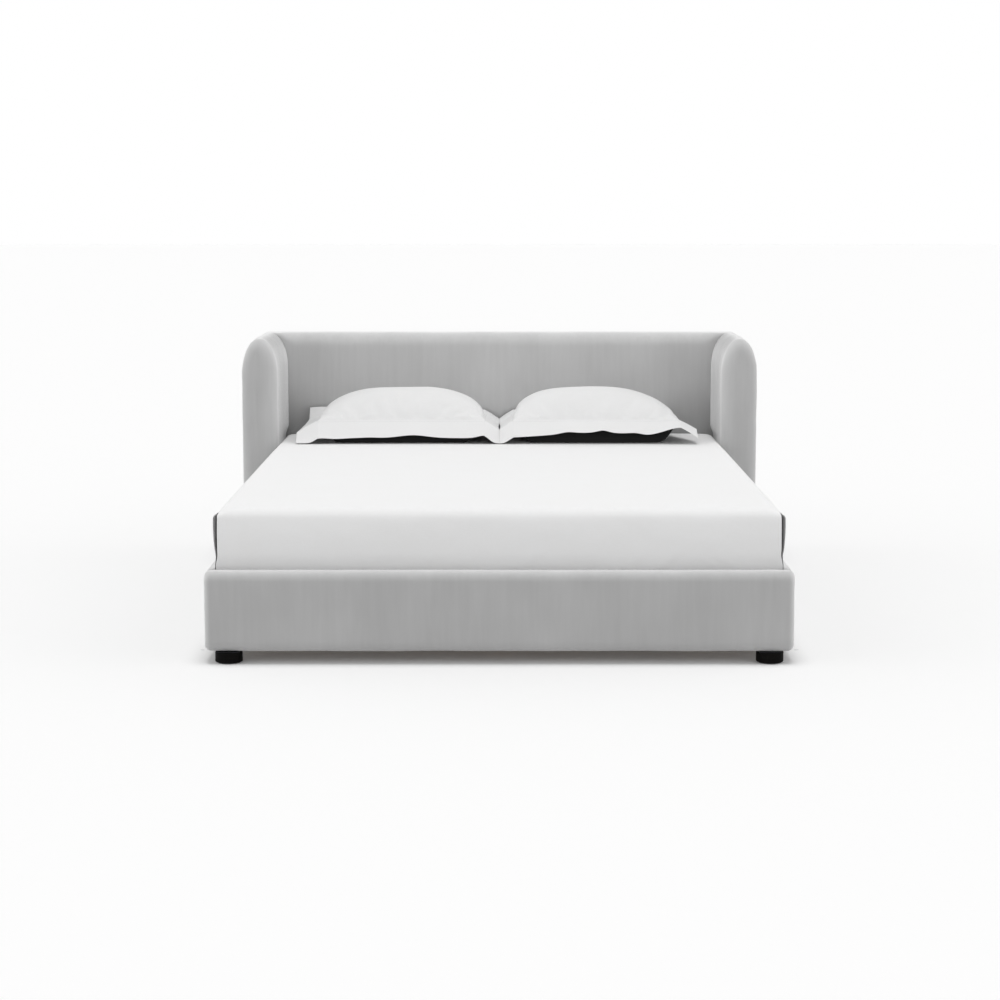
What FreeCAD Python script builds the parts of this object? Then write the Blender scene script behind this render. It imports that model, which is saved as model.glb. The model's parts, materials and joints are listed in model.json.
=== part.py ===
import FreeCAD, Part
import os

# Upholstered bed: padded rails on short round feet, a padded headboard with a padded wing at each end,
# a slatted base, a mattress in a sheet and two pillows in flanged shams. Millimetres, +Z up, +Y towards
# the headboard, +X to the right as seen from the foot end. The origin is on the floor, at the middle of
# the whole bed's footprint.

os.makedirs("parts", exist_ok=True)
Vec = FreeCAD.Vector
UP, DOWN = Vec(0, 0, 1), Vec(0, 0, -1)
TO_HEAD, TO_FOOT = Vec(0, 1, 0), Vec(0, -1, 0)
SIDES = {"left": -1, "right": 1}

# Mattress and bedding
MATTRESS_WIDTH = 1512.0  # a 1524 nominal mattress as it is made
MATTRESS_LENGTH = 2025.0
MATTRESS_THICKNESS = 254.0
MATTRESS_EDGE = 24.0
TICKING = 2.0
SHEET = 1.5
PILLOW_WIDTH = 600.0
PILLOW_DEPTH = 330.0
PILLOW_LOFT = 183.0
PILLOW_SPACING = 677.0
PILLOW_CORNER = 105.0
PILLOW_TOP_ROUND = 98.0
PILLOW_BASE_ROUND = 70.0
SHAM_FABRIC = 1.2
SHAM_FLANGE = 35.0
FLANGE_THICKNESS = 2.4
FLANGE_LIFT = 20.0
SHAM_SLIT = 8.0

# Overall heights
FOOT_HEIGHT = 33.0
RAIL_HEIGHT = 218.0
HEADBOARD_HEIGHT = 738.0
SLAT_RECESS = 90.5  # from the top of the rails down to the top of the slats

# Upholstery build-up
COVER = 1.5
FRONT_RAIL_BOARD = 25.0
FRONT_RAIL_FOAM = 23.8
FRONT_RAIL_EDGE = 24.0
SIDE_RAIL_BOARD = 18.0
SIDE_RAIL_FOAM = 7.2
SIDE_RAIL_EDGE = 20.0
RAIL_EDGE_FOAM = 8.0
BACK_EDGE = 8.0
STAPLE_GAP = 10.0

# Headboard
HEAD_FOAM = 40.0
HEAD_TOP_FOAM = 26.0
HEAD_END_FOAM = 25.0
HEAD_BOARD = 12.0
HEAD_TIMBER_DEPTH = 66.0
HEAD_TIMBER_WIDTH = 60.0
HEAD_BOTTOM_RAIL = 115.0
BACK_PANEL = 3.6
BACK_PANEL_CORNER = 40.0
HEAD_FRONT_EDGE = 28.0
HEAD_BACK_EDGE = 25.0
BACK_HEM = 20.0

# Wings
WING_REACH = 340.0
WING_FOAM = 20.0
WING_INNER_BOARD = 9.0
WING_OUTER_BOARD = 12.0
WING_CAVITY = 55.3
WING_FRONT_EDGE = 30.0
WING_FRAME_SETBACK = 32.0
WING_FRAME_DROP = 46.0
WING_TIMBER = 45.0

# Slatted base
SLAT_COUNT = 14
SLAT_WIDTH = 75.0
SLAT_THICKNESS = 18.0
SLAT_END_ROOM = 2.5
SLAT_MARGIN = 60.0
LEDGER_WIDTH = 32.0
LEDGER_HEIGHT = 40.0
LEDGER_END_GAP = 5.0
STRAP_WIDTH = 40.0
STRAP_THICKNESS = 1.2
STRAP_PLACE = 0.5  # of the way from the middle to a slat's end
CENTRE_RAIL_WIDTH = 35.0
CENTRE_RAIL_HEIGHT = 90.0
CENTRE_LEG = 45.0
CENTRE_LEG_COUNT = 3
GLIDE_RADIUS = 18.0
GLIDE_HEIGHT = 4.0

# Feet
FOOT_RADIUS = 37.0
FOOT_SIDE_INSET = 28.5
FOOT_END_INSET = 3.5
FOOT_PLATE = 60.0
FOOT_PLATE_THICKNESS = 3.0
FOOT_PAD_THICKNESS = 3.0
FOOT_PAD_RADIUS = 30.5
FOOT_EDGE = 2.5
STUD_RADIUS = 4.0
STUD_IN_FOOT = 18.0
STUD_IN_FRAME = 22.0
INSERT_WALL = 2.0

# Fittings
STEEL = 3.0
BRACKET_LEG = 60.0
BRACKET_RISE = 12.0  # above the bottom of the rails
BRACKET_DROP = 8.0  # below the ledgers
JOIN_REACH = 90.0
JOG_START = 25.0
JOG_END = 5.0
SADDLE_DEPTH = 35.0
SADDLE_FLANGE = 70.0
BOLT_RADIUS = 3.0
BOLT_HEAD_RADIUS = 6.0
BOLT_HEAD = 1.8
SCREW_RADIUS = 2.2
SCREW_HEAD_RADIUS = 4.2
SCREW_HEAD = 2.6
WING_BOLT_RADIUS = 4.0
WING_BOLT_IN_HEAD = 40.0
LEDGER_SCREW_BITE = 12.0

# Clearances
LAYER_GAP = 0.1  # between pieces of one body
SOFT_GAP = 1.0  # between the sheet and a wing
RAIL_SIDE_GAP = 7.5  # between the sheet and a side rail
END_GAP = 5.0  # between the sheet and the front rail or the headboard
REST_GAP = 0.5  # under a piece that lifts off
HOLE_GAP = 0.2
PILLOW_REAR_GAP = 8.0

# Places worked out from the sizes above
SHEET_HALF = MATTRESS_WIDTH / 2 + SHEET
WING_THICKNESS = 2 * (COVER + LAYER_GAP + WING_FOAM) + WING_INNER_BOARD + WING_CAVITY + WING_OUTER_BOARD
WING_INNER = SHEET_HALF + SOFT_GAP
WING_OUTER = WING_INNER + WING_THICKNESS
WING_CENTRE = (WING_INNER + WING_OUTER) / 2
SIDE_RAIL_THICKNESS = 2 * (COVER + LAYER_GAP) + SIDE_RAIL_BOARD + SIDE_RAIL_FOAM
RAIL_INNER = SHEET_HALF + RAIL_SIDE_GAP
RAIL_OUTER = RAIL_INNER + SIDE_RAIL_THICKNESS
FRONT_RAIL_THICKNESS = 2 * (COVER + LAYER_GAP) + FRONT_RAIL_BOARD + FRONT_RAIL_FOAM
HEADBOARD_THICKNESS = (
    2 * (COVER + LAYER_GAP) + HEAD_FOAM + HEAD_BOARD + HEAD_TIMBER_DEPTH + BACK_PANEL + 2 * LAYER_GAP
)
SHEET_LENGTH = MATTRESS_LENGTH + 2 * SHEET
LENGTH = FRONT_RAIL_THICKNESS + 2 * END_GAP + SHEET_LENGTH + HEADBOARD_THICKNESS
FRONT, BACK = -LENGTH / 2, LENGTH / 2
WELL_FRONT = FRONT + FRONT_RAIL_THICKNESS
HEAD_FACE = BACK - HEADBOARD_THICKNESS
WING_FRONT = HEAD_FACE - WING_REACH
RAIL_BOTTOM = FOOT_HEIGHT
RAIL_TOP = RAIL_BOTTOM + RAIL_HEIGHT
HEAD_TOP = RAIL_BOTTOM + HEADBOARD_HEIGHT
SLAT_TOP = RAIL_TOP - SLAT_RECESS
SLAT_BOTTOM = SLAT_TOP - SLAT_THICKNESS
LEDGER_TOP = SLAT_BOTTOM - LAYER_GAP
LEDGER_BOTTOM = LEDGER_TOP - LEDGER_HEIGHT
SLAT_HALF = SHEET_HALF - SLAT_END_ROOM
CENTRE_RAIL_BOTTOM = LEDGER_TOP - CENTRE_RAIL_HEIGHT
BRACKET_TOP = LEDGER_BOTTOM - BRACKET_DROP
BRACKET_BOTTOM = RAIL_BOTTOM + BRACKET_RISE
MATTRESS_BOTTOM = SLAT_TOP + REST_GAP
MATTRESS_TOP = MATTRESS_BOTTOM + MATTRESS_THICKNESS
MATTRESS_FRONT = WELL_FRONT + END_GAP + SHEET
MATTRESS_BACK = MATTRESS_FRONT + MATTRESS_LENGTH
PILLOW_BOTTOM = MATTRESS_TOP + SHEET + REST_GAP
PILLOW_BACK = HEAD_FACE - PILLOW_REAR_GAP
PILLOW_FRONT = PILLOW_BACK - PILLOW_DEPTH
ARCH = WING_THICKNESS / 2
FOOT_SIDE_ROOM, FOOT_END_ROOM = FOOT_SIDE_INSET + FOOT_RADIUS, FOOT_END_INSET + FOOT_RADIUS
FOOT_X = {"front": RAIL_OUTER - FOOT_SIDE_ROOM, "rear": WING_OUTER - FOOT_SIDE_ROOM}
FOOT_Y = {"front": FRONT + FOOT_END_ROOM, "rear": BACK - FOOT_END_ROOM}
TINY = 1e-4

nodes = {}


def box(x, y, z):
    """A box between a low and a high value along each axis."""
    (x0, x1), (y0, y1), (z0, z1) = sorted(x), sorted(y), sorted(z)
    return Part.makeBox(x1 - x0, y1 - y0, z1 - z0, Vec(x0, y0, z0))


def lies_on(edge, axis, value):
    return all(abs(getattr(v.Point, axis) - value) < TINY for v in edge.Vertexes)


def rounded(shape, radius, chosen):
    """Fillets the edges for which chosen(edge) holds."""
    return shape.makeFillet(radius, [e for e in shape.Edges if chosen(e)])


def grown(x, y, z, by):
    """The box between those values, larger by a clearance on every side."""
    return box(*[(min(pair) - by, max(pair) + by) for pair in (x, y, z)])


def screw(at, along, length, radius, head_radius, head, sunk=False):
    """A headed screw and the clearance hole it needs. Its head stands on the surface, or is sunk in it."""
    start = at if sunk else at - along * head
    shank = Part.makeCylinder(radius, length + head, start, along)
    piece = shank.fuse(Part.makeCylinder(head_radius, head, start, along)).removeSplitter()
    hole = Part.makeCylinder(radius + HOLE_GAP, length + 2 * head, at - along * HOLE_GAP, along)
    if sunk:
        sink = Part.makeCylinder(head_radius + HOLE_GAP, head + 2 * HOLE_GAP, at - along * HOLE_GAP, along)
        hole = hole.fuse(sink)
    return piece, hole


def fasten(name, screws, *through):
    """Keeps the screws as one node and opens their holes in the pieces that they pass through."""
    nodes[name] = Part.makeCompound([piece for piece, _ in screws])
    for node in through:
        holes = [h for _, h in screws if h.BoundBox.intersect(nodes[node].BoundBox)]
        if holes:
            nodes[node] = nodes[node].cut(Part.makeCompound(holes))


# ---------------------------------------------------------------- front rail


def front_rail_form(inset):
    x = (-RAIL_OUTER + inset, RAIL_OUTER - inset)
    y = (FRONT + inset, WELL_FRONT - inset)
    z = (RAIL_BOTTOM + inset, RAIL_TOP - inset)
    edge = min(FRONT_RAIL_EDGE, COVER + FRONT_RAIL_FOAM)
    form = rounded(box(x, y, z), edge - inset, lambda e: lies_on(e, "y", y[0]))
    return rounded(form, BACK_EDGE - inset, lambda e: lies_on(e, "y", y[1]) and lies_on(e, "z", z[1]))


def make_front_rail():
    skin = COVER + LAYER_GAP
    x = (-RAIL_OUTER + COVER + FRONT_RAIL_FOAM, RAIL_OUTER - COVER - FRONT_RAIL_FOAM)
    y = (WELL_FRONT - skin - FRONT_RAIL_BOARD, WELL_FRONT - skin)
    z = (RAIL_BOTTOM + skin, RAIL_TOP - skin - RAIL_EDGE_FOAM)
    nodes["front_rail_board"] = box(x, y, z)
    nodes["front_rail_foam"] = front_rail_form(skin).cut(grown(x, y, z, LAYER_GAP))
    slit_x = FOOT_X["front"] - FOOT_PLATE
    slit_y = (y[0], y[0] + STAPLE_GAP)
    slit = box((-slit_x, slit_x), slit_y, (RAIL_BOTTOM - skin, RAIL_BOTTOM + skin))
    nodes["front_rail_cover"] = front_rail_form(0).cut(front_rail_form(COVER)).cut(slit)


# ---------------------------------------------------------------- side rails


def side_rail_form(side, inset):
    x = (side * (RAIL_INNER + inset), side * (RAIL_OUTER - inset))
    y = (WELL_FRONT + LAYER_GAP + inset, WING_FRONT - LAYER_GAP - inset)
    z = (RAIL_BOTTOM + inset, RAIL_TOP - inset)
    outer = lambda e: lies_on(e, "x", x[1]) and (lies_on(e, "z", z[0]) or lies_on(e, "z", z[1]))
    return rounded(box(x, y, z), SIDE_RAIL_EDGE - inset, outer)


def make_side_rail(name, side):
    skin = COVER + LAYER_GAP
    x = (side * (RAIL_INNER + skin), side * (RAIL_INNER + skin + SIDE_RAIL_BOARD))
    y = (WELL_FRONT + LAYER_GAP + skin, WING_FRONT - LAYER_GAP - skin)
    z = (RAIL_BOTTOM + skin + RAIL_EDGE_FOAM, RAIL_TOP - skin - RAIL_EDGE_FOAM)
    nodes[name + "_rail_board"] = box(x, y, z)
    nodes[name + "_rail_foam"] = side_rail_form(side, skin).cut(grown(x, y, z, LAYER_GAP))
    slit_x = (side * (RAIL_INNER + 2 * skin), side * (RAIL_INNER + 2 * skin + STAPLE_GAP / 2))
    slit = box(slit_x, (y[0] + skin, y[1] - skin), (RAIL_BOTTOM - skin, RAIL_BOTTOM + skin))
    nodes[name + "_rail_cover"] = side_rail_form(side, 0).cut(side_rail_form(side, COVER)).cut(slit)


# ---------------------------------------------------------------- headboard


def headboard_form(inset):
    """A slab with its two top corners rounded to the wings' arch, and its front top edge eased between them."""
    x = (-WING_OUTER + inset, WING_OUTER - inset)
    y = (HEAD_FACE + inset, BACK - inset)
    z = (RAIL_BOTTOM + inset, HEAD_TOP - inset)
    corner = lambda e: (lies_on(e, "x", x[0]) or lies_on(e, "x", x[1])) and lies_on(e, "z", z[1])
    form = rounded(box(x, y, z), ARCH - inset, corner)
    form = rounded(form, HEAD_BACK_EDGE - inset, lambda e: lies_on(e, "y", y[1]) and not lies_on(e, "z", z[0]))
    edge_y, edge_z = HEAD_FACE + HEAD_FRONT_EDGE, HEAD_TOP - HEAD_FRONT_EDGE
    strip = box((-WING_CENTRE, WING_CENTRE), (HEAD_FACE - 1, edge_y), (edge_z, HEAD_TOP + 1))
    start = Vec(-WING_CENTRE, edge_y, edge_z)
    ease = Part.makeCylinder(HEAD_FRONT_EDGE - inset, 2 * WING_CENTRE, start, Vec(1, 0, 0))
    return form.cut(strip.cut(ease))


def make_headboard():
    skin = COVER + LAYER_GAP
    half = WING_OUTER - skin - HEAD_END_FOAM
    y = (HEAD_FACE + skin + HEAD_FOAM, BACK - skin - BACK_PANEL - LAYER_GAP)
    z = (RAIL_BOTTOM + skin, HEAD_TOP - skin - HEAD_TOP_FOAM)
    timber_y = (y[0] + HEAD_BOARD + LAYER_GAP, y[1])
    between = half - HEAD_TIMBER_WIDTH - LAYER_GAP
    middle = (z[0] + HEAD_BOTTOM_RAIL + z[1] - HEAD_TIMBER_WIDTH) / 2

    nodes["headboard_front_board"] = box((-half, half), (y[0], y[0] + HEAD_BOARD), z)
    for name, side in SIDES.items():
        nodes[name + "_headboard_post"] = box((side * (half - HEAD_TIMBER_WIDTH), side * half), timber_y, z)
    rails = {
        "headboard_bottom_rail": (z[0], z[0] + HEAD_BOTTOM_RAIL),
        "headboard_middle_rail": (middle - HEAD_TIMBER_WIDTH / 2, middle + HEAD_TIMBER_WIDTH / 2),
        "headboard_top_rail": (z[1] - HEAD_TIMBER_WIDTH, z[1]),
    }
    for name, levels in rails.items():
        nodes[name] = box((-between, between), timber_y, levels)

    panel_y = (y[1] + LAYER_GAP, y[1] + LAYER_GAP + BACK_PANEL)
    corners = lambda e: lies_on(e, "z", z[1]) and (lies_on(e, "x", -half) or lies_on(e, "x", half))
    nodes["headboard_back_panel"] = rounded(box((-half, half), panel_y, z), BACK_PANEL_CORNER, corners)
    block = grown((-half, half), (y[0], BACK), z, LAYER_GAP)
    nodes["headboard_foam"] = headboard_form(skin).cut(block)
    window_x, window_z = half - BACK_HEM, (z[0] + BACK_HEM, z[1] - BACK_HEM)
    window = box((-window_x, window_x), (BACK - skin, BACK + skin), window_z)
    nodes["headboard_cover"] = headboard_form(0).cut(headboard_form(COVER)).cut(window)


# ---------------------------------------------------------------- wings


def wing_form(side, inset, back):
    """An arch-topped slab with its leading edge rounded, standing along the bed in front of the headboard."""
    x0, x1 = side * (WING_INNER + inset), side * (WING_OUTER - inset)
    z0, spring = RAIL_BOTTOM + inset, HEAD_TOP - ARCH
    front, middle = WING_FRONT + inset, side * WING_CENTRE
    corners = [Vec(x0, front, spring), Vec(x0, front, z0), Vec(x1, front, z0), Vec(x1, front, spring)]
    lines = [Part.makeLine(a, b) for a, b in zip(corners, corners[1:])]
    arch = Part.Arc(corners[-1], Vec(middle, front, HEAD_TOP - inset), corners[0]).toShape()
    slab = Part.Face(Part.Wire(lines + [arch])).extrude(Vec(0, back - front, 0))
    return rounded(slab, WING_FRONT_EDGE - inset, lambda e: lies_on(e, "y", front))


def make_wing(name, side):
    skin = COVER + LAYER_GAP
    back = HEAD_FACE - LAYER_GAP
    inner = WING_INNER + skin + WING_FOAM
    outer = WING_OUTER - skin - WING_FOAM
    y = (WING_FRONT + WING_FRAME_SETBACK, back)
    z = (RAIL_BOTTOM + skin, HEAD_TOP - WING_FRAME_DROP)
    nodes[name + "_wing_inner_board"] = box((side * inner, side * (inner + WING_INNER_BOARD)), y, z)
    nodes[name + "_wing_outer_board"] = box((side * outer, side * (outer - WING_OUTER_BOARD)), y, z)

    x = (side * (inner + WING_INNER_BOARD + LAYER_GAP), side * (outer - WING_OUTER_BOARD - LAYER_GAP))
    rail_y = (y[0] + WING_TIMBER + LAYER_GAP, y[1] - WING_TIMBER - LAYER_GAP)
    timbers = [
        box(x, (y[0], y[0] + WING_TIMBER), z),
        box(x, (y[1] - WING_TIMBER, y[1]), z),
        box(x, rail_y, (z[0], z[0] + WING_TIMBER)),
        box(x, rail_y, (z[1] - WING_TIMBER, z[1])),
    ]
    nodes[name + "_wing_timbers"] = Part.makeCompound(timbers)

    block = grown((side * inner, side * outer), (y[0], y[1] + WING_TIMBER), z, LAYER_GAP)
    nodes[name + "_wing_foam"] = wing_form(side, skin, back).cut(block)
    nodes[name + "_wing_cover"] = wing_form(side, 0, back).cut(wing_form(side, COVER, back + 1))


# ---------------------------------------------------------------- slatted base


def slat_places():
    first, last = WELL_FRONT + SLAT_MARGIN, HEAD_FACE - SLAT_MARGIN
    return [first + i * (last - first) / (SLAT_COUNT - 1) for i in range(SLAT_COUNT)]


def make_ledgers():
    z = (LEDGER_BOTTOM, LEDGER_TOP)
    spans = {
        "rail": (RAIL_INNER, WELL_FRONT + LEDGER_END_GAP, WING_FRONT - LEDGER_END_GAP),
        "wing": (WING_INNER, WING_FRONT + WING_FRONT_EDGE + LEDGER_END_GAP, HEAD_FACE - LEDGER_END_GAP),
    }
    for name, side in SIDES.items():
        for place, (face, start, end) in spans.items():
            x = (side * (face - LAYER_GAP), side * (face - LAYER_GAP - LEDGER_WIDTH))
            nodes[f"{name}_{place}_ledger"] = box(x, (start, end), z)


def make_slats():
    half = SLAT_WIDTH / 2
    z = (SLAT_BOTTOM, SLAT_TOP)
    places = slat_places()
    nodes["slats"] = Part.makeCompound([box((-SLAT_HALF, SLAT_HALF), (y - half, y + half), z) for y in places])
    strap_x = STRAP_PLACE * SLAT_HALF
    strap_z = (SLAT_BOTTOM - LAYER_GAP - STRAP_THICKNESS, SLAT_BOTTOM - LAYER_GAP)
    ends = (places[0] - half, places[-1] + half)
    straps = [box((s * strap_x, s * (strap_x + STRAP_WIDTH)), ends, strap_z) for s in SIDES.values()]
    nodes["slat_straps"] = Part.makeCompound(straps)


def make_centre_support():
    half = CENTRE_RAIL_WIDTH / 2
    y = (WELL_FRONT + STEEL + 2 * LAYER_GAP, HEAD_FACE - STEEL - 2 * LAYER_GAP)
    nodes["centre_rail"] = box((-half, half), y, (CENTRE_RAIL_BOTTOM, LEDGER_TOP))

    saddles = []
    for face, inward in ((WELL_FRONT, 1), (HEAD_FACE, -1)):
        start = face + inward * LAYER_GAP
        x = half + LAYER_GAP + STEEL
        low, high = CENTRE_RAIL_BOTTOM - LAYER_GAP - STEEL, LEDGER_TOP - STEEL
        cup = box((-x, x), (start, start + inward * SADDLE_DEPTH), (low, high))
        hollow_y = (start + inward * STEEL, start + inward * (SADDLE_DEPTH + 1))
        hollow = box((-half - LAYER_GAP, half + LAYER_GAP), hollow_y, (low + STEEL, high + 1))
        flange = box((-SADDLE_FLANGE, SADDLE_FLANGE), (start, start + inward * STEEL), (low, high))
        saddles.append(cup.fuse(flange).cut(hollow).removeSplitter())
    nodes["centre_rail_saddles"] = Part.makeCompound(saddles)

    legs, glides = [], []
    side = CENTRE_LEG / 2
    for i in range(CENTRE_LEG_COUNT):
        at = WELL_FRONT + (HEAD_FACE - WELL_FRONT) * (i + 1) / (CENTRE_LEG_COUNT + 1)
        legs.append(box((-side, side), (at - side, at + side), (GLIDE_HEIGHT, CENTRE_RAIL_BOTTOM - LAYER_GAP)))
        glides.append(Part.makeCylinder(GLIDE_RADIUS, GLIDE_HEIGHT - LAYER_GAP, Vec(0, at, 0), UP))
    nodes["centre_legs"] = Part.makeCompound(legs)
    nodes["centre_leg_glides"] = Part.makeCompound(glides)


# ---------------------------------------------------------------- feet


def make_feet():
    top = FOOT_HEIGHT - FOOT_PLATE_THICKNESS - LAYER_GAP
    pads, plates, studs, inserts = [], [], [], []
    for end in ("front", "rear"):
        for name, side in SIDES.items():
            at = Vec(side * FOOT_X[end], FOOT_Y[end], FOOT_PAD_THICKNESS)
            foot = Part.makeCylinder(FOOT_RADIUS, top - FOOT_PAD_THICKNESS, at, UP)
            foot = rounded(foot, FOOT_EDGE, lambda e: lies_on(e, "z", at.z) or lies_on(e, "z", top))
            base = Vec(at.x, at.y, top - STUD_IN_FOOT)
            hole = Part.makeCylinder(STUD_RADIUS + HOLE_GAP, STUD_IN_FOOT + 1, base, UP)
            nodes[f"{end}_{name}_foot"] = foot.cut(hole)

            below = Vec(at.x, at.y, 0)
            pads.append(Part.makeCylinder(FOOT_PAD_RADIUS, FOOT_PAD_THICKNESS - LAYER_GAP, below, UP))
            half = FOOT_PLATE / 2
            plate_z = (top + LAYER_GAP, RAIL_BOTTOM - LAYER_GAP)
            plate = box((at.x - half, at.x + half), (at.y - half, at.y + half), plate_z)
            length = STUD_IN_FOOT + FOOT_PLATE_THICKNESS + STUD_IN_FRAME
            around = Part.makeCylinder(STUD_RADIUS + HOLE_GAP, length, base, UP)
            plates.append(plate.cut(around))
            studs.append(Part.makeCylinder(STUD_RADIUS, length - LAYER_GAP, base + UP * LAYER_GAP, UP))

            seat = Vec(at.x, at.y, RAIL_BOTTOM + COVER + 2 * LAYER_GAP)
            radius = STUD_RADIUS + HOLE_GAP + INSERT_WALL
            inserts.append(Part.makeCylinder(radius, STUD_IN_FRAME, seat, UP).cut(around))
            bore = Part.makeCylinder(radius + LAYER_GAP, STUD_IN_FRAME + 2 * COVER, seat - UP * 2 * COVER, UP)
            for node in HOLDS_FOOT[end](name):
                nodes[node] = nodes[node].cut(bore)
    nodes["foot_pads"] = Part.makeCompound(pads)
    nodes["foot_plates"] = Part.makeCompound(plates)
    nodes["foot_studs"] = Part.makeCompound(studs)
    nodes["foot_inserts"] = Part.makeCompound(inserts)


HOLDS_FOOT = {
    "front": lambda name: ("front_rail_board", "front_rail_foam", "front_rail_cover"),
    "rear": lambda name: (name + "_headboard_post", "headboard_foam", "headboard_cover"),
}


# ---------------------------------------------------------------- fittings


def corner_brackets():
    """An angle in each front corner ties the front rail to a side rail. Gives the bolts that hold it."""
    brackets, bolts = [], []
    z = (BRACKET_BOTTOM, BRACKET_TOP)
    wall_y, level = WELL_FRONT + LAYER_GAP, (BRACKET_BOTTOM + BRACKET_TOP) / 2
    for side in SIDES.values():
        wall_x = side * (RAIL_INNER - LAYER_GAP)
        along_x = (wall_x, wall_x - side * BRACKET_LEG)
        front_leg = box(along_x, (wall_y, wall_y + STEEL), z)
        side_leg = box((wall_x, wall_x - side * STEEL), (wall_y, wall_y + BRACKET_LEG), z)
        brackets.append(front_leg.fuse(side_leg).removeSplitter())
        for share in (0.4, 0.8):
            into_front = Vec(wall_x - side * share * BRACKET_LEG, wall_y + STEEL, level)
            into_side = Vec(wall_x - side * STEEL, wall_y + share * BRACKET_LEG, level)
            bolts.append((into_front, TO_FOOT, STEEL + COVER + FRONT_RAIL_BOARD * 0.8))
            bolts.append((into_side, Vec(side, 0, 0), STEEL + COVER + SIDE_RAIL_BOARD * 0.8))
    nodes["corner_brackets"] = Part.makeCompound(brackets)
    return bolts


def joining_plates():
    """A jogged plate on the inside ties each side rail to its wing. Gives the bolts that hold it."""
    plates, bolts = [], []
    level = (BRACKET_BOTTOM + BRACKET_TOP) / 2
    for side in SIDES.values():
        line = [
            (RAIL_INNER - LAYER_GAP, WING_FRONT - JOIN_REACH),
            (RAIL_INNER - LAYER_GAP, WING_FRONT - JOG_START),
            (WING_INNER - LAYER_GAP, WING_FRONT - JOG_END),
            (WING_INNER - LAYER_GAP, WING_FRONT + JOIN_REACH),
        ]
        loop = line + [(x - STEEL, y) for x, y in reversed(line)]
        outline = [Vec(side * x, y, BRACKET_BOTTOM) for x, y in loop]
        face = Part.Face(Part.makePolygon(outline + outline[:1]))
        plates.append(face.extrude(UP * (BRACKET_TOP - BRACKET_BOTTOM)))
        ends = ((RAIL_INNER, -1, SIDE_RAIL_BOARD * 0.8), (WING_INNER, 1, WING_FOAM + WING_INNER_BOARD * 0.8))
        for face_x, toward, bite in ends:
            for share in (0.55, 0.85):
                at = Vec(side * (face_x - LAYER_GAP - STEEL), WING_FRONT + toward * share * JOIN_REACH, level)
                bolts.append((at, Vec(side, 0, 0), STEEL + COVER + bite))
    nodes["joining_plates"] = Part.makeCompound(plates)
    return bolts


def make_rail_fittings():
    bolts = corner_brackets() + joining_plates()
    made = [screw(at, way, length, BOLT_RADIUS, BOLT_HEAD_RADIUS, BOLT_HEAD) for at, way, length in bolts]
    layers = ("_rail_cover", "_rail_board", "_wing_cover", "_wing_foam", "_wing_inner_board")
    held = ["front_rail_cover", "front_rail_board"] + [n + layer for n in SIDES for layer in layers]
    fasten("rail_bolts", made, "corner_brackets", "joining_plates", *held)


def make_wing_bolts():
    """Long bolts hold each wing's rear timber to the headboard post behind it."""
    bolts = []
    low, high = RAIL_BOTTOM + HEADBOARD_HEIGHT * 0.1, HEAD_TOP - HEADBOARD_HEIGHT * 0.15
    reach = HEAD_FACE - LAYER_GAP - WING_TIMBER
    length = WING_TIMBER + COVER + HEAD_FOAM + HEAD_BOARD + WING_BOLT_IN_HEAD
    for side in SIDES.values():
        for level in (low, (low + high) / 2, high):
            at = Vec(side * WING_CENTRE, reach, level)
            bolts.append(screw(at, TO_HEAD, length, WING_BOLT_RADIUS, 2 * WING_BOLT_RADIUS, BOLT_HEAD))
    head = ("headboard_cover", "headboard_foam", "headboard_front_board")
    sides = [n + part for n in SIDES for part in ("_wing_timbers", "_headboard_post")]
    fasten("wing_bolts", bolts, *head, *sides)


def sunk_screw(at, along, length):
    return screw(at, along, length, SCREW_RADIUS, SCREW_HEAD_RADIUS, SCREW_HEAD, sunk=True)


def make_base_screws():
    """One size of sunk screw holds the ledgers and the slat ends."""
    level = (LEDGER_BOTTOM + LEDGER_TOP) / 2
    made = []
    spans = {
        "rail": (RAIL_INNER, WELL_FRONT, WING_FRONT, 6, 0),
        "wing": (WING_INNER, WING_FRONT + WING_FRONT_EDGE, HEAD_FACE, 3, WING_FOAM),
    }
    for side in SIDES.values():
        for face, start, end, count, soft in spans.values():
            for i in range(count):
                y = start + (end - start) * (i + 0.5) / count
                at = Vec(side * (face - LAYER_GAP - LEDGER_WIDTH), y, level)
                bite = WING_INNER_BOARD * 0.8 if soft else LEDGER_SCREW_BITE
                made.append(sunk_screw(at, Vec(side, 0, 0), LEDGER_WIDTH + COVER + soft + bite))
    for y in slat_places():
        for side in SIDES.values():
            at = Vec(side * (SLAT_HALF - LEDGER_WIDTH * 0.35), y, SLAT_TOP)
            made.append(sunk_screw(at, DOWN, SLAT_THICKNESS + LEDGER_HEIGHT * 0.25))
    ledgers = ("_rail_ledger", "_wing_ledger")
    layers = ledgers + ("_rail_cover", "_rail_board", "_wing_cover", "_wing_foam", "_wing_inner_board")
    fasten("base_screws", made, "slats", *[n + layer for n in SIDES for layer in layers])


def make_saddle_screws():
    saddle = []
    level = (CENTRE_RAIL_BOTTOM + LEDGER_TOP) / 2
    into_front, into_head = FRONT_RAIL_BOARD * 0.8, HEAD_FOAM + HEAD_BOARD * 0.8
    for face, inward, way, bite in ((WELL_FRONT, 1, TO_FOOT, into_front), (HEAD_FACE, -1, TO_HEAD, into_head)):
        for side in SIDES.values():
            at = Vec(side * SADDLE_FLANGE * 0.7, face + inward * (LAYER_GAP + STEEL), level)
            saddle.append(screw(at, way, STEEL + COVER + bite, SCREW_RADIUS, SCREW_HEAD_RADIUS, BOLT_HEAD))
    head = ("headboard_cover", "headboard_foam", "headboard_front_board")
    fasten("saddle_screws", saddle, "centre_rail_saddles", "front_rail_cover", "front_rail_board", *head)


# ---------------------------------------------------------------- mattress and bedding


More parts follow.
